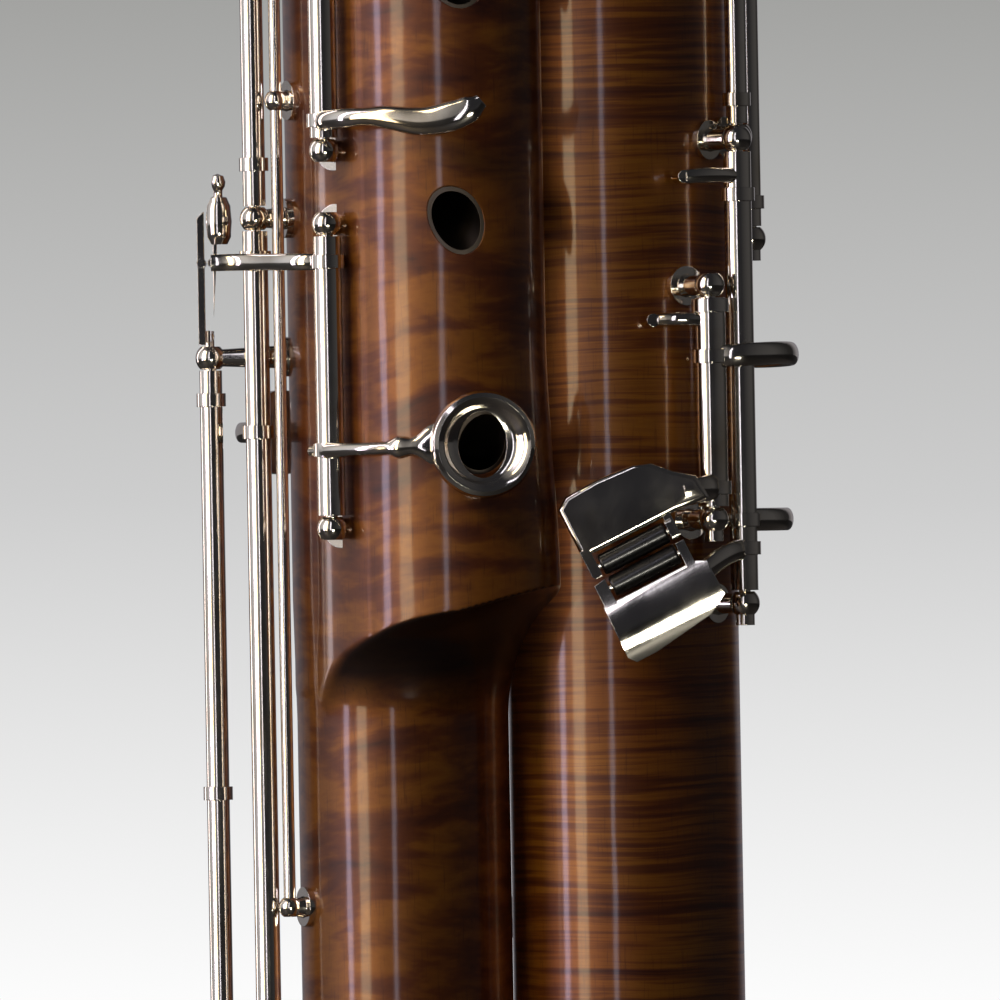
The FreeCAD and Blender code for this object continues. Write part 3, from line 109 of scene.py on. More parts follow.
# tone holes: bore axis x, angle from the front, height, hole radius, wood radius, pad radius
WING_HOLES = (
    (WING_X, 2, 795, 2.4, 17.1, 5.5),
    (WING_X, -128, 486, 2.8, 17.6, 5.5),
    (WING_X, 192, 768, 2.2, 17.3, 5.0),
)
LONG_HOLES = (
    (LONG_X, 94, 602, 5.0, LONG_R, 7.5),
    (LONG_X, 98, 574, 5.0, LONG_R, 7.5),
    (LONG_X, 108, 890, 5.3, LONG_R, 8.0),
    (LONG_X, 160, 745, 5.3, LONG_R, 8.0),
    (LONG_X, 206, 508, 5.3, LONG_R, 8.0),
)
BELL_HOLES = ((LONG_X, 158, 1160, 6.2, 21.1, 8.5),)
BOOT_HOLES = (
    (WING_X, 0, 250, 5.6, BOOT_WING_R, 8.0),
    (WING_X, -112, 124, 5.0, BOOT_WING_R, 7.5),
    (LONG_X, 92, 132, 6.4, BOOT_LONG_R, 9.0),
    (WING_X, 176, 318, 6.0, BOOT_WING_R, 8.5),
    (LONG_X, 184, 386, 5.0, BOOT_LONG_R, 7.5),
)
# finger holes: place across the face, height, radius, slant
FINGER_HOLES = ((12.0, 664.5, 4.3, 14.0), (11.2, 625.0, 4.4, 22.0), (15.8, 587.2, 4.4, -20.0))
# the boot's own finger holes: height, radius
BOOT_FINGERS = ((352.0, 4.4), (300.0, 4.8))


# ---------------------------------------------------------------- materials
def tone(red, green, blue):
    """A colour given as it looks on a screen, 0 to 255."""
    made = [c / 255 / 12.92 if c <= 10 else ((c / 255 + 0.055) / 1.055) ** 2.4 for c in (red, green, blue)]
    return (*made, 1.0)


def grey(level):
    return (level, level, level, 1.0)


class Nodes:
    """A node tree under construction."""

    def __init__(self, tree):
        self.tree = tree

    def feed(self, socket, value):
        if isinstance(value, bpy.types.NodeSocket):
            self.tree.links.new(value, socket)
        else:
            socket.default_value = value

    def add(self, kind, inputs=(), **settings):
        node = self.tree.nodes.new(kind)
        for key, value in settings.items():
            setattr(node, key, value)
        for key, value in inputs:
            self.feed(node.inputs[key], value)
        return node

    def split(self, vector):
        """The x, y and z of a vector."""
        return self.add("ShaderNodeSeparateXYZ", [("Vector", vector)]).outputs

    def maths(self, operation, a, b=0.0, clamp=False):
        node = self.add("ShaderNodeMath", [(0, a), (1, b)], operation=operation, use_clamp=clamp)
        return node.outputs[0]

    def ramp(self, amount, *stops):
        node = self.add("ShaderNodeValToRGB", [("Fac", amount)])
        marks = node.color_ramp.elements
        while len(marks) < len(stops):
            marks.new(0.5)
        for mark, (at, colour) in zip(marks, stops):
            mark.position = at
            mark.color = colour
        return node.outputs["Color"]

    def levels(self, amount, low, high, bottom=0.0, top=1.0):
        node = self.add("ShaderNodeMapRange", [
            ("Value", amount), ("From Min", low), ("From Max", high), ("To Min", bottom), ("To Max", top),
        ])
        return node.outputs["Result"]

    def mixed(self, amount, a, b, blend="MIX"):
        node = self.add("ShaderNodeMix", [(0, amount), (6, a), (7, b)], data_type="RGBA", blend_type=blend)
        return node.outputs[2]


class Look(Nodes):
    """A material under construction, measured in metres from the object's own origin."""

    def __init__(self, name):
        self.material = bpy.data.materials.new(name)
        self.material.use_nodes = True
        super().__init__(self.material.node_tree)
        self.surface = self.tree.nodes["Principled BSDF"]
        self.place = self.add("ShaderNodeTexCoord").outputs["Object"]

    def scaled(self, x, y, z, vector=None):
        start = self.place if vector is None else vector
        node = self.add("ShaderNodeMapping", [("Vector", start), ("Scale", (x, y, z))])
        return node.outputs["Vector"]

    def noise(self, vector, detail=3.0, rough=0.5, twist=0.0):
        node = self.add("ShaderNodeTexNoise", [
            ("Vector", vector), ("Scale", 1.0), ("Detail", detail), ("Roughness", rough),
            ("Distortion", twist),
        ])
        return node.outputs["Fac"]

    def cells(self, vector):
        return self.add("ShaderNodeTexVoronoi", [("Vector", vector), ("Scale", 1.0)]).outputs["Distance"]

    def bump(self, height, distance, strength=1.0, normal=None):
        pairs = [("Height", height), ("Distance", distance * MM), ("Strength", strength)]
        if normal is not None:
            pairs.append(("Normal", normal))
        return self.add("ShaderNodeBump", pairs).outputs["Normal"]

    def soft_edges(self, radius):
        """A normal that rounds every sharp edge by that radius in mm."""
        return self.add("ShaderNodeBevel", [("Radius", radius * MM)], samples=4).outputs["Normal"]

    def finish(self, **inputs):
        for key, value in inputs.items():
            self.feed(self.surface.inputs[key.replace("_", " ")], value)
        return self.material


def maple(name, across, along, wave, dark, middle, light, red, shift=0.0):
    """Varnished flamed maple: bands across the grain, pores along it, under a clear coat.

    The base is partly metallic for the depth of stained figure, and undersides are darkened with painted
    shade.
    """
    look = Look(name)
    offset = look.add("ShaderNodeVectorMath", [(0, look.place), (1, (shift, shift, shift))]).outputs[0]
    wander = look.noise(look.scaled(28, 28, 14, offset), 2.0)
    x, y, z = look.split(offset)
    height = look.maths("ADD", z, look.maths("MULTIPLY", wander, wave * MM))
    bent = look.add("ShaderNodeCombineXYZ", [("X", x), ("Y", y), ("Z", height)]).outputs["Vector"]
    broad = look.noise(look.scaled(across, across, along, bent), 4.0, 0.55, 0.35)
    fine = look.noise(look.scaled(across * 1.6, across * 1.6, along * 2.2, bent), 3.0, 0.5, 0.2)
    flame = look.maths("ADD", look.maths("MULTIPLY", broad, 0.65), look.maths("MULTIPLY", fine, 0.35))
    colour = look.ramp(flame, (0.32, dark), (0.46, middle), (0.56, light), (0.72, middle))
    patch = look.noise(look.scaled(34, 34, 20, offset), 3.0)
    colour = look.mixed(look.levels(patch, 0.45, 0.7, 0.0, 0.55), colour, red, "MULTIPLY")
    pore_field = look.noise(look.scaled(2600, 2600, 160, offset), 2.0, 0.6)
    pores = look.levels(pore_field, 0.58, 0.72, 0.0, 0.35)
    colour = look.mixed(pores, colour, dark)
    # painted shade: faces that point downward are darkened toward tone(30, 12, 6)
    facing = look.split(look.add("ShaderNodeNewGeometry").outputs["Normal"])["Z"]
    colour = look.mixed(look.levels(facing, -0.42, -0.06, 0.92, 0.0), colour, tone(30, 12, 6))
    grime = look.levels(look.noise(look.scaled(60, 60, 60, offset), 4.0, 0.6), 0.4, 0.8, 0.10, 0.30)
    edges = look.soft_edges(0.35)
    grain = look.bump(pore_field, 0.03, 0.25, edges)
    gloss = look.bump(look.noise(look.scaled(130, 130, 26, offset), 2.0), 0.25, 0.30, edges)
    return look.finish(
        Base_Color=colour, Metallic=0.38, Roughness=look.levels(grime, 0.0, 0.4, 0.38, 0.48), Normal=grain,
        Coat_Weight=0.75, Coat_Roughness=look.levels(grime, 0.0, 0.4, 0.07, 0.14), Coat_Normal=gloss,
    )


def metal(name, colour, stain, rough=0.05, edge=0.18):
    """Plated metal with smudges, faint rubbing marks and softened edges."""
    look = Look(name)
    smudge = look.noise(look.scaled(160, 160, 90), 5.0, 0.6, 0.4)
    tarnish = look.levels(look.noise(look.scaled(70, 70, 45), 4.0, 0.6), 0.5, 0.78, 0.0, 0.75)
    rubbed = look.noise(look.scaled(1500, 1500, 130), 3.0, 0.6)
    pitted = look.levels(look.cells(look.scaled(520, 520, 520)), 0.0, 0.16, 0.0, 1.0)
    normal = look.bump(rubbed, 0.012, 0.10, look.soft_edges(edge))
    normal = look.bump(smudge, 0.10, 0.08, normal)
    normal = look.bump(pitted, 0.01, 0.08, normal)
    return look.finish(
        Base_Color=look.mixed(tarnish, colour, stain), Metallic=1.0,
        Roughness=look.levels(smudge, 0.3, 0.75, rough, rough + 0.08), Normal=normal,
    )


def leather(name):
    """Pale kid, finely wrinkled."""
    look = Look(name)
    wrinkle = look.cells(look.scaled(900, 900, 900))
    shade = look.noise(look.scaled(240, 240, 240), 4.0)
    colour = look.ramp(
        shade, (0.3, tone(176, 140, 96)), (0.55, tone(214, 186, 142)), (0.8, tone(232, 212, 176)),
    )
    return look.finish(Base_Color=colour, Roughness=0.62, Normal=look.bump(wrinkle, 0.06, 0.5))


def moulded(name, dark, light, rough):
    """Ebonite or resin, moulded and hand polished."""
    look = Look(name)
    cloud = look.noise(look.scaled(90, 90, 90), 4.0, 0.6)
    speck = look.noise(look.scaled(1400, 1400, 1400), 2.0)
    return look.finish(
        Base_Color=look.mixed(cloud, dark, light),
        Roughness=look.levels(speck, 0.3, 0.7, rough, rough + 0.12),
        Normal=look.bump(speck, 0.008, 0.3, look.soft_edges(0.25)), Coat_Weight=0.3, Coat_Roughness=0.1,
    )


def ivory(name):
    """Resin with the faint crossed lines of a natural material."""
    look = Look(name)
    lines = look.noise(look.scaled(60, 60, 900), 3.0, 0.6, 0.5)
    colour = look.ramp(
        lines, (0.3, tone(206, 190, 156)), (0.55, tone(232, 222, 196)), (0.75, tone(240, 232, 212)),
    )
    return look.finish(
        Base_Color=colour, Roughness=0.28, Subsurface_Weight=0.15, Subsurface_Radius=(0.004, 0.003, 0.002),
        Normal=look.bump(lines, 0.01, 0.2, look.soft_edges(0.3)), Coat_Weight=0.5, Coat_Roughness=0.08,
    )


def thread(name, dark, light, pitch):
    """Waxed thread wound round and round an upright piece."""
    look = Look(name)
    turns = look.add("ShaderNodeTexWave", [
        ("Vector", look.scaled(1, 1, 1)), ("Scale", BANDS_PER_PITCH / (pitch * MM)), ("Distortion", 0.3),
        ("Detail", 2.0), ("Detail Scale", 300.0),
    ], wave_type="BANDS", bands_direction="Z").outputs["Fac"]
    fuzz = look.noise(look.scaled(3000, 3000, 3000), 3.0)
    # the grooves between turns are darkened with painted shade, following the same bands as the bump; the
    # fuzz is the thread's own fibre tone
    colour = look.mixed(look.maths("MULTIPLY", turns, fuzz, True), dark, light)
    normal = look.bump(fuzz, 0.02, 0.4, look.bump(turns, 0.2, 0.8))
    return look.finish(Base_Color=colour, Roughness=0.55, Normal=normal, Sheen_Weight=0.2)


def cork(name):
    """Cut cork: small cells with dark flecks."""
    look = Look(name)
    cell = look.cells(look.scaled(700, 700, 700))
    fleck = look.levels(look.noise(look.scaled(420, 420, 420), 4.0, 0.7), 0.6, 0.72)
    colour = look.ramp(cell, (0.1, tone(150, 108, 68)), (0.6, tone(196, 154, 106)))
    colour = look.mixed(fleck, colour, tone(84, 52, 30))
    return look.finish(Base_Color=colour, Roughness=0.8, Normal=look.bump(cell, 0.12, 0.6))


def cane(name):
    """Reed cane: long fibres, brown where it has been handled."""
    look = Look(name)
    fibre = look.noise(look.scaled(2600, 900, 120), 3.0, 0.6)
    blush = look.noise(look.scaled(120, 120, 60), 3.0)
    colour = look.ramp(
        fibre, (0.3, tone(170, 124, 62)), (0.5, tone(216, 176, 104)), (0.7, tone(232, 202, 138)),
    )
    colour = look.mixed(look.levels(blush, 0.5, 0.75, 0.0, 0.5), colour, tone(158, 104, 54))
    return look.finish(
        Base_Color=colour, Roughness=0.42, Normal=look.bump(fibre, 0.05, 0.5), Coat_Weight=0.2,
    )


WING_MAPLE = maple(
    "wing_maple", 56, 150, 9.0,
    tone(64, 22, 2), tone(114, 56, 6), tone(156, 94, 16), tone(200, 108, 72),
)
LONG_MAPLE = maple(
    "long_maple", 26, 640, 3.0,
    tone(76, 30, 4), tone(120, 62, 8), tone(164, 102, 20), tone(208, 132, 84), 0.31,
)
BOOT_MAPLE = maple(
    "boot_maple", 44, 300, 6.0,
    tone(62, 21, 2), tone(116, 58, 6), tone(160, 98, 17), tone(204, 120, 76), 0.67,
)
SILVER = metal("silver_plate", tone(236, 230, 218), tone(190, 168, 128))
BRASS = metal("brass", tone(214, 176, 104), tone(150, 104, 52), 0.2)
STEEL = metal("blued_steel", tone(120, 126, 140), tone(70, 62, 60), 0.22, 0.05)
OXIDE = metal("oxidised_liner", tone(84, 76, 68), tone(34, 26, 20), 0.32, 0.1)
LEATHER = leather("pad_leather")
EBONITE = moulded("ebonite", tone(10, 9, 10), tone(26, 23, 22), 0.26)
IVORY = ivory("ivory_resin")
THREAD = thread("tenon_thread", tone(92, 20, 16), tone(170, 48, 34), 0.5)
BINDING = thread("reed_thread", tone(110, 12, 14), tone(196, 34, 30), 0.55)
CORK = cork("cork")
CANE = cane("cane")


# ---------------------------------------------------------------- mesh building
def wooden(name, points, faces, material):
    """A smooth piece of maple from points in mm."""
    mesh = bpy.data.meshes.new(name)
    mesh.from_pydata([tuple(p) for p in np.asarray(points) * MM], [], faces)
    mesh.materials.append(material)
    mesh.shade_smooth()
    made = bpy.data.objects.new(name, mesh)
    bpy.context.scene.collection.objects.link(made)
    return made


def ring_faces(count, sides, closed):
    """Quads between rings of points, the last ring joined to the first if closed."""
    faces = []
    for row in range(count if closed else count - 1):
        low = row * sides
        high = (row + 1) % count * sides
        faces += [(low + i, low + (i + 1) % sides, high + (i + 1) % sides, high + i) for i in range(sides)]
    return faces


def capped(count, sides):
    """Quads between open rings of points, with a face over each end."""
    faces = ring_faces(count, sides, False)
    faces.append(tuple(reversed(range(sides))))
    faces.append(tuple(range((count - 1) * sides, count * sides)))
    return faces


def round_ring(axis_x, radius, z):
    """A level ring about a bore axis; the radius is one number or one for each side."""
    angle = np.linspace(0, 2 * math.pi, SIDES, endpoint=False)
    reach = np.broadcast_to(radius, SIDES)
    return np.column_stack((axis_x + reach * np.sin(angle), -reach * np.cos(angle), np.full(SIDES, z)))


def round_rings(axis_x, profile):
    return np.vstack([round_ring(axis_x, radius, z) for radius, z in profile])


def rod(origin, direction, profile):
    """Points and faces of a turned solid given as (radius, distance along the direction)."""
    axis = Vector(direction).normalized()
    across = axis.cross(Vector((0, 0, 1)) if abs(axis.z) < 0.9 else Vector((1, 0, 0))).normalized()
    up = axis.cross(across)
    points = []
    for radius, distance in profile:
        centre = Vector(origin) + axis * distance
        for i in range(ROD_SIDES):
            a = 2 * math.pi * i / ROD_SIDES
            points.append(centre + (across * math.cos(a) + up * math.sin(a)) * radius)
    return points, capped(len(profile), ROD_SIDES)


def laid(x, y, z):
    """A point measured across and away from the playing face, from the wing bore."""
    c, s = math.cos(FACE_TURN), math.sin(FACE_TURN)
    return Vector((WING_X + x * c + y * s, -x * s + y * c, z))


def tone_hole(axis_x, angle, z, hole_r, wood_r, pad_r):
    """The drill for a covered hole: the hole, its chamfered mouth, and a flat recess for the pad."""
    recess = pad_r + PAD_ROOM
    seat = math.sqrt(wood_r ** 2 - recess ** 2) - SEAT_DEPTH
    a = math.radians(angle)
    profile = [
        (hole_r, DRILL_START), (hole_r, seat - CHAMFER), (hole_r + CHAMFER, seat),
        (recess, seat), (recess, DRILL_LENGTH),
    ]
    return rod((axis_x, 0, z), (math.sin(a), -math.cos(a), 0), profile)


def finger_hole(x, z, radius, slant):
    """The drill for an open hole that slants toward the bore."""
    outside = laid(x + FINGER_LEAN, -FINGER_REACH, z - slant / 4)
    inside = laid(0, 0, z + slant)
    return rod(outside, inside - outside, [(radius, 0), (radius, (inside - outside).length)])


def drilled(piece, cutters):
    """The piece with every cutter taken out of it."""
    points, faces = [], []
    for more_points, more_faces in cutters:
        start = len(points)
        points += [p * MM for p in more_points]
        faces += [tuple(start + i for i in face) for face in more_faces]
    mesh = bpy.data.meshes.new("cutters")
    mesh.from_pydata([tuple(p) for p in points], [], faces)
    mesh.materials.append(piece.data.materials[0])
    tool = bpy.data.objects.new("cutters", mesh)
    bpy.context.scene.collection.objects.link(tool)
    cut = piece.modifiers.new("cut", "BOOLEAN")
    cut.operation = "DIFFERENCE"
    cut.solver = "EXACT"
    cut.object = tool
    graph = bpy.context.evaluated_depsgraph_get()
    result = bpy.data.meshes.new_from_object(piece.evaluated_get(graph))
    piece.modifiers.clear()
    result.shade_smooth()
    piece.data = result
    bpy.data.objects.remove(tool)
    return piece


def crisp(piece, degrees):
    """Smooth shading that stops at the true edges."""
    edges = piece.modifiers.new("edges", "EDGE_SPLIT")
    edges.split_angle = math.radians(degrees)
    return piece


# ---------------------------------------------------------------- wing joint
def arc(centre, radius, start, end, count):
    a = np.linspace(start, end, count)
    return np.column_stack((centre[0] + radius * np.cos(a), centre[1] + radius * np.sin(a)))


def shoulder_reach(angle, side):
    """Distance from the wing bore to the shoulder's side, for each angle from the front."""
    middle = np.array(SHOULDER_MIDDLE)
    radius, corner_r = SHOULDER_R, SHOULDER_CORNER
    offset = math.hypot(*middle)
    start = math.atan2(middle[1], middle[0]) - math.acos(-(radius - TUBE_R) / offset)
    across = side - corner_r - middle[0]
    corner = middle + (across, -math.sqrt((radius - corner_r) ** 2 - across ** 2))
    turn = math.atan2(corner[1] - middle[1], across)
    room_r = LONG_R + 0.4
    room = np.array((LONG_X - WING_X, 0.0))
    lean = math.acos((room[0] - side) / room_r)
    outline = np.vstack((
        arc(middle, radius, start, turn, 200), arc(corner, corner_r, turn, 0, 40),
        arc(room, room_r, math.pi + lean, math.pi, 60),
    ))
    around = np.arctan2(outline[:, 0], -outline[:, 1])
    order = np.argsort(around)
    reach = np.interp(angle, around[order], np.hypot(*outline.T)[order])
    reach = np.where((angle > around.min()) & (angle < around.max()), reach, 0.0)
    flank = np.clip((angle - FLANK_START) / (FLANK_END - FLANK_START), 0, 1)
    bulge = FLANK_R + FLANK_RISE * flank ** FLANK_POWER
    return np.where(angle < FLANK_END, np.maximum(reach, bulge), reach)


def soft_least(a, b, width):
    """The lesser of two lengths, blended where they are close."""
    share = np.clip(0.5 + 0.5 * (b - a) / width, 0, 1)
    return b + (a - b) * share - width * share * (1 - share)


def shoulder_limit(angle, z):
    """The farthest the shoulder may reach at a height: a cove below, and a long blend at the top."""
    if z > SHOULDER_HIGH - TOP_BLEND_R + 1:
        return TUBE_R + TOP_BLEND_R - math.sqrt(TOP_BLEND_R ** 2 - (SHOULDER_HIGH - z) ** 2)
    cove = COVE_R + COVE_GROWTH * np.clip((angle - COVE_GROWTH_START) / COVE_GROWTH_TURN, 0, 1)
    rise = z - SHOULDER_LOW
    limit = TUBE_LOW_R + cove - np.sqrt(np.maximum(cove ** 2 - rise ** 2, 0))
    return np.where(rise < cove, limit, NO_LIMIT)


def wing_reach(z):
    """The wing joint's outline at a height, as a distance from its bore for each side."""
    angle = np.linspace(0, 2 * math.pi, SIDES, endpoint=False)
    angle = np.where(angle > math.pi, angle - 2 * math.pi, angle)
    tube = np.interp(z, TUBE_HEIGHTS, (TUBE_LOW_R, TUBE_R, TUBE_R, TUBE_TOP_R))
    if not SHOULDER_LOW < z < SHOULDER_HIGH:
        return np.full(SIDES, tube)
    flare = min(max((FLARE_TOP - z) / FLARE_HEIGHT, 0), 1)
    side = SHOULDER_SIDE + SIDE_FLARE * flare * flare * (3 - 2 * flare)
    return np.maximum(tube, soft_least(shoulder_reach(angle, side), shoulder_limit(angle, z), CREASE))


def tapered(low, high, low_r, high_r, heights):
    """Radius and height pairs down a conical bore."""
    return [(high_r + (low_r - high_r) * (high - z) / (high - low), z) for z in heights]


def wing_joint():
    heights = [JOINT_START, *(z for rows in WING_ROWS for z in np.arange(*rows)), WING_END]
    outside = np.vstack([round_ring(WING_X, wing_reach(z), z) for z in heights])
    inner = [(15.0, 892), (14.6, 892), (14.6, WING_SOCKET), (5.95, WING_SOCKET), (5.95, WING_BORE_END)]
    inner += tapered(TENON_END - 1, WING_BORE_END, 7.1, 4.7, range(885, 414, -15))
    inner += [(7.1, TENON_END), (11.9, TENON_END), (11.9, JOINT_START)]
    points = np.vstack((outside, round_rings(WING_X, inner)))
    made = wooden("wing_joint_wood", points, ring_faces(len(points) // SIDES, SIDES, True), WING_MAPLE)
    cutters = [tone_hole(*hole) for hole in WING_HOLES] + [finger_hole(*hole) for hole in FINGER_HOLES]
    return crisp(drilled(made, cutters), WOOD_CREASE)


# ---------------------------------------------------------------- long joint, bell and boot
def turned(name, profile, material, holes):
    """A hollow piece turned about the long bore and drilled."""
    made = wooden(name, round_rings(LONG_X, profile), ring_faces(len(profile), SIDES, True), material)
    return crisp(drilled(made, [tone_hole(*hole) for hole in holes]), WOOD_CREASE)


def long_joint():
    edge = LONG_R - EDGE_BREAK
    profile = [(edge, JOINT_START), (LONG_R, JOINT_START + EDGE_BREAK)]
    profile += [(LONG_R, z) for z in range(446, 1014, 6)]
    profile += [(LONG_R, LONG_END - EDGE_BREAK), (edge, LONG_END), (17.5, LONG_END), (17.5, LONG_TENON_END)]
    profile += tapered(TENON_END, LONG_TENON_END, 12.4, 16.2, range(1041, 414, -19))
    profile += [(12.4, TENON_END), (15.4, TENON_END), (15.4, JOINT_START)]
    return turned("long_joint_wood", profile, LONG_MAPLE, LONG_HOLES)


def bell():
    heights = np.arange(1034.4, 1321.8, 5)
    side = np.interp(heights, (1034, 1055, 1076, 1100, 1130, 1180, 1236, 1280, 1322),
                     (24.0, 22.75, 21.85, 21.2, 20.9, 21.05, 21.7, 22.85, 24.6))
    smooth = np.convolve(np.pad(side, 4, mode="edge"), np.ones(9) / 9, mode="valid")
    side[4:-4] = smooth[4:-4]
    profile = [(22.4, BELL_START), (22.4, BELL_START + 19), (23.7, BELL_START + 19), *zip(side, heights)]
    profile += [(24.2, BELL_END), (22.2, BELL_END), (22.2, BELL_RIM)]
    profile += tapered(LONG_TENON_END, BELL_MOUTH, 16.4, 19.4, range(1336, 1042, -14))
    profile += [(16.4, LONG_TENON_END + 0.4), (18.7, LONG_TENON_END + 0.4), (18.7, BELL_START)]
    return turned("bell_wood", profile, BOOT_MAPLE, BELL_HOLES)


def boot_ring(inset, z):
    """A level ring round both boot bores."""
    small, large = BOOT_WING_R - inset, BOOT_LONG_R - inset
    lean = math.asin((large - small) / (LONG_X - WING_X))
    right = arc((LONG_X, 0), large, -math.pi / 2 - lean, math.pi / 2 + lean, 100)
    left = arc((WING_X, 0), small, math.pi / 2 + lean, 3 * math.pi / 2 - lean, 100)
    back = np.linspace(right[-1], left[0], 28)[1:-1]
    front = np.linspace(left[-1], right[0], 28)[1:-1]
    plan = np.vstack((right, back, left, front))
    return np.column_stack((plan, np.full(len(plan), z)))


def boot_bore(axis_x, low_r, high_r, socket_r):
    """The drill for one bore of the boot and for the tenon socket at its top."""
    depth = BOOT_BORE_END - BORE_START
    profile = [(low_r, 0), (high_r, depth), (socket_r, depth), (socket_r, BORE_DRILL)]
    return rod((axis_x, 0, BORE_START), (0, 0, 1), profile)


def boot():
    profile = [(1.6, 36), (1.6, CAP_EDGE), (EDGE_BREAK, CAP_EDGE), (0.0, CAP_EDGE + EDGE_BREAK)]
    profile += [(0.0, z) for z in range(54, 422, 6)]
    profile += [(0.0, BOOT_WOOD_END - EDGE_BREAK), (EDGE_BREAK, BOOT_WOOD_END), (1.2, BOOT_WOOD_END)]
    profile.append((1.2, BOOT_TOP))
    rings = [boot_ring(inset, z) for inset, z in profile]
    made = wooden("boot_wood", np.vstack(rings), capped(len(rings), len(rings[0])), BOOT_MAPLE)
    drilled(made, [boot_bore(WING_X, 8.8, 7.2, 13.1), boot_bore(LONG_X, 9.2, 12.2, 16.8)])
    cutters = [tone_hole(*hole) for hole in BOOT_HOLES]
    for z, r in BOOT_FINGERS:
        cutters.append(rod((WING_X, 0, z), (0, -1, 0), [(r, DRILL_START), (r, DRILL_LENGTH)]))
    return crisp(drilled(made, cutters), WOOD_CREASE)


woods = {}
for make in (wing_joint, long_joint, bell, boot):
    node = make.__name__
    woods[node] = make()
    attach(woods[node], "instrument")
    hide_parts(node)


# ---------------------------------------------------------------- finishes of the CAD nodes
def dress(name, material):
    """A material for a whole CAD node, and shading that is smooth between its true edges."""
    node = NODES[name]
    mesh = node.data
    if "custom_normal" in mesh.attributes:
        mesh.attributes.remove(mesh.attributes["custom_normal"])
    mesh.materials.clear()
    mesh.materials.append(material)
    mesh.polygons.foreach_set("material_index", np.zeros(len(mesh.polygons), np.int32))
    mesh.shade_smooth()
    weld = node.modifiers.new("weld", "WELD")
    weld.merge_threshold = 0.001 * MM
    crisp(node, CAD_CREASE)


FINISHES = {
    "bell_ring": IVORY, "bocal_cork": CORK, "hand_rest": EBONITE, "low_c_sharp_roller": EBONITE,
    "low_e_flat_roller": EBONITE, "hole_liners": OXIDE, "needle_springs": STEEL, "reed_binding": BINDING,
    "reed_cane": CANE, "tenon_wraps": THREAD, "u_tube": BRASS, "u_tube_gasket": CORK,
}
for name in NODES:
    if name not in woods:
        dress(name, LEATHER if name.endswith("_pad") else FINISHES.get(name, SILVER))


# ---------------------------------------------------------------- studio
AIM_Z = 578.0
AIM_SIDE = -1.67
CAMERA_TURN = math.radians(-8.0)
CAMERA_DISTANCE = 3000.0
FIELD = 166.7
ROLL = math.radians(-1.03)
SENSOR = 36.0
FLOOR_HALF = 9.0
FLOOR_GLOW = 0.55
STRIP_HEIGHT = 2.2
STRIP_Z = 1.3
WARM = (1.0, 0.82, 0.54)


def camera():
    """A long lens square to the playing face, rolled a little as in a hand-held shot."""
    side = Vector((math.cos(CAMERA_TURN), math.sin(CAMERA_TURN), 0))
    away = Vector((-math.sin(CAMERA_TURN), math.cos(CAMERA_TURN), 0))
    place = (side * AIM_SIDE + Vector((0, 0, AIM_Z)) - away * CAMERA_DISTANCE) * MM
    turned = Matrix((side, Vector((0, 0, 1)), -away)).transposed().to_4x4()
    data = bpy.data.cameras.new("camera")
    data.sensor_width = SENSOR
    data.lens = data.sensor_width * CAMERA_DISTANCE / FIELD
    data.clip_end = 200.0
    made = bpy.data.objects.new("camera", data)
    made.matrix_world = Matrix.Translation(place) @ turned @ Matrix.Rotation(ROLL, 4, "Z")
    bpy.context.scene.collection.objects.link(made)
    bpy.context.scene.camera = made


def area_light(name, turn, rise, distance, level, size, power, colour):
    """A soft box facing the instrument's axis; the turn is from the camera's direction."""
    side = CAMERA_TURN + math.radians(turn)
    lift = math.radians(rise)
    reach = distance * math.cos(lift)
    data = bpy.data.lights.new(name, "AREA")
    data.shape = "RECTANGLE"
    data.size, data.size_y = size
    data.energy = power
    data.color = colour
    made = bpy.data.objects.new(name, data)
    made.location = (reach * math.sin(side), -reach * math.cos(side), level + distance * math.sin(lift))
    made.rotation_euler = (math.pi / 2 - lift, 0, side)
    made.visible_camera = False
    bpy.context.scene.collection.objects.link(made)
    return made


def strip_light(name, turn, distance, width, power, colour, height=STRIP_HEIGHT, z=STRIP_Z):
    """An upright light that shows only as a reflection."""
    made = area_light(name, turn, 0.0, distance, z, (width, height), power, colour)
    made.visible_diffuse = False
    return made


def soft_box(name, turn, rise, distance, size, power, colour):
    """A square light that shades the wood but leaves no reflection."""
    made = area_light(name, turn, rise, distance, AIM_Z * MM, (size, size), power, colour)
    made.visible_glossy = False


def linked(name, pieces, state="EXCLUDE"):
    """A collection that keeps some pieces out of one light's reach, or keeps the light to them alone."""
    made = bpy.data.collections.new(name)
    for piece in pieces:
        made.objects.link(piece)
    for member in made.collection_objects:
        member.light_linking.link_state = state
    return made


def floor():
    """A floor that is pale to the camera and dark to everything that reflects it."""
    corners = [(x * FLOOR_HALF, y * FLOOR_HALF, 0) for x, y in ((-1, -1), (1, -1), (1, 1), (-1, 1))]
    mesh = bpy.data.meshes.new("floor")
    mesh.from_pydata(corners, [], [(0, 1, 2, 3)])
    made = bpy.data.objects.new("floor", mesh)
    look = Look("floor_paint")
    shade = look.noise(look.scaled(3, 3, 3), 4.0)
    pale = look.mixed(shade, tone(206, 206, 204), tone(220, 220, 218))
    seen = look.add("ShaderNodeLightPath").outputs["Is Camera Ray"]
    mesh.materials.append(look.finish(
        Base_Color=look.mixed(seen, tone(40, 38, 38), pale), Roughness=0.6,
        Emission_Color=pale, Emission_Strength=look.maths("MULTIPLY", seen, FLOOR_GLOW),
    ))
    bpy.context.scene.collection.objects.link(made)


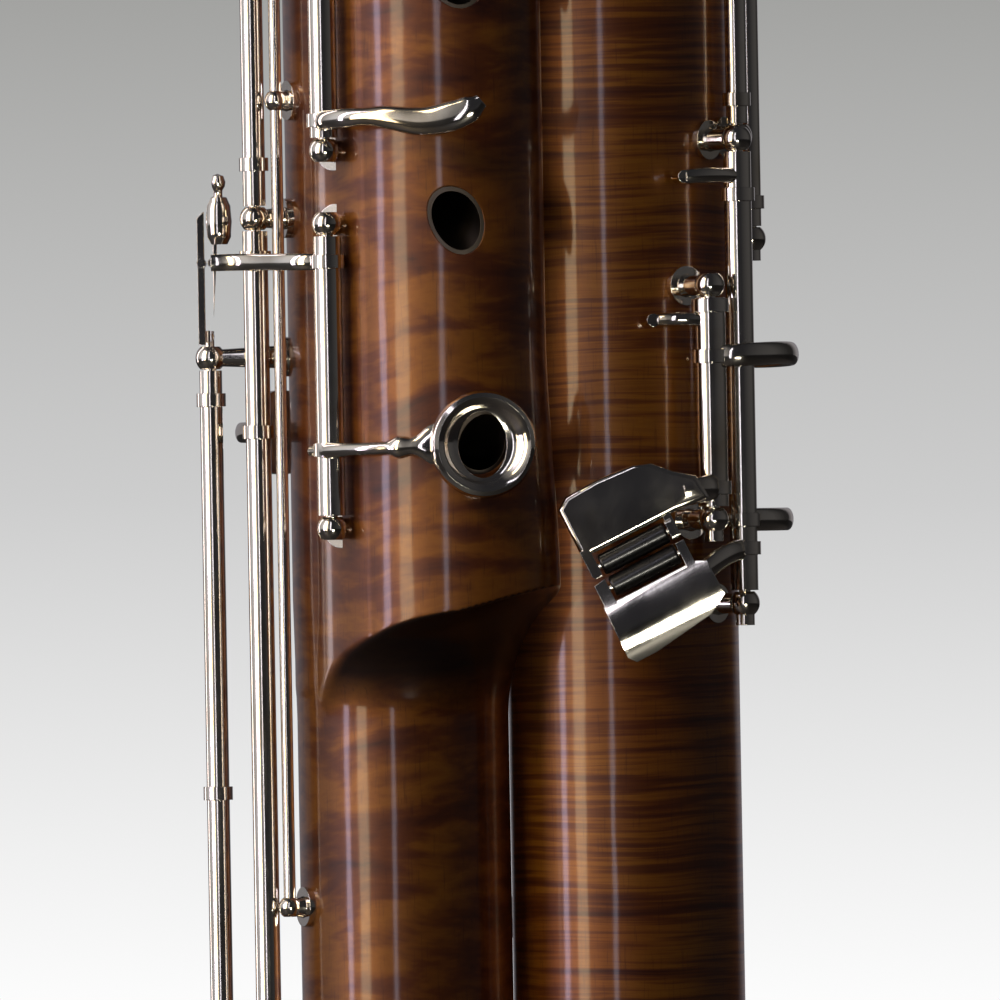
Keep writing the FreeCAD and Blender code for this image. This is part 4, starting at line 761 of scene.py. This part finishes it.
def backdrop():
    """A grey backdrop, paler toward the bottom, and a dim room for everything else to reflect."""
    world = bpy.data.worlds.new("studio")
    bpy.context.scene.world = world
    world.use_nodes = True
    world.node_tree.nodes.clear()
    sky = Nodes(world.node_tree)
    where = sky.add("ShaderNodeTexCoord").outputs
    direction = sky.split(where["Generated"])

    def graded(axis, *stops):
        """Colours from one side of the room to the other."""
        along = sky.maths("MULTIPLY", sky.maths("ADD", direction[axis], 1.0), 0.5)
        return sky.ramp(along, *stops)

    seen = sky.ramp(
        sky.split(where["Window"])["Y"], (0.0, tone(252, 252, 252)), (0.15, tone(240, 240, 240)),
        (0.5, tone(205, 205, 205)), (1.0, tone(163, 163, 161)),
    )
    room = graded(
        "X", (0.0, (0.62, 0.61, 0.66, 1)), (0.13, (0.66, 0.63, 0.62, 1)), (0.24, (0.20, 0.19, 0.19, 1)),
        (0.36, (0.02, 0.02, 0.024, 1)), (0.60, (0.02, 0.02, 0.023, 1)), (1.0, (0.06, 0.058, 0.06, 1)),
    )
    room = sky.mixed(1.0, room, graded("Y", (0.5, grey(1.0)), (0.75, grey(0.4))), "MULTIPLY")
    room = sky.mixed(1.0, room, graded("Z", (0.44, grey(0.12)), (0.50, grey(1.0))), "MULTIPLY")
    behind = graded("Y", (0.82, grey(0.0)), (0.92, (0.24, 0.23, 0.25, 1)))
    room = sky.mixed(1.0, room, behind, "LIGHTEN")
    path = sky.add("ShaderNodeLightPath").outputs
    room = sky.mixed(path["Is Diffuse Ray"], room, (0.035, 0.033, 0.036, 1))
    light = sky.add("ShaderNodeBackground", [("Color", sky.mixed(path["Is Camera Ray"], room, seen))])
    sky.add("ShaderNodeOutputWorld", [("Surface", light.outputs[0])])


camera()
strip_light("lavender_strip", -64, 1.5, 0.16, 7, (0.86, 0.76, 1.0))
strip_light("front_strip", -12, 1.6, 0.12, 2.5, (0.86, 0.84, 1.0))
strip_light("rim_strip", -118, 1.5, 0.25, 6, (1.0, 0.86, 0.88))
soft_box("key_box", -48, 38, 1.8, 0.5, 10, (1.0, 0.93, 0.84))
soft_box("rear_box", 150, 25, 1.8, 0.9, 26, (1.0, 0.97, 0.94))

# one warm strip for the long joint, past the wing joint's shadow, and its twin for all the rest
warm = strip_light("warm_strip", -46, 1.5, 0.30, 10, WARM)
warm.light_linking.receiver_collection = linked("warm_receivers", [woods["long_joint"]])
clear = strip_light("clear_strip", -46, 1.5, 0.30, 10, WARM)
clear.light_linking.receiver_collection = linked("clear_receivers", [woods["long_joint"]], "INCLUDE")
clear.light_linking.blocker_collection = linked("clear_blockers", [woods["wing_joint"]])

low = strip_light("low_glint", 8.0, 1.5, 0.34, 4.5, (1.0, 0.96, 0.84), height=0.20, z=0.17)
low.rotation_euler.x += math.radians(14.5)
low.light_linking.receiver_collection = linked("low_receivers", woods.values())
floor()
backdrop()
bpy.context.scene.view_settings.view_transform = "Standard"
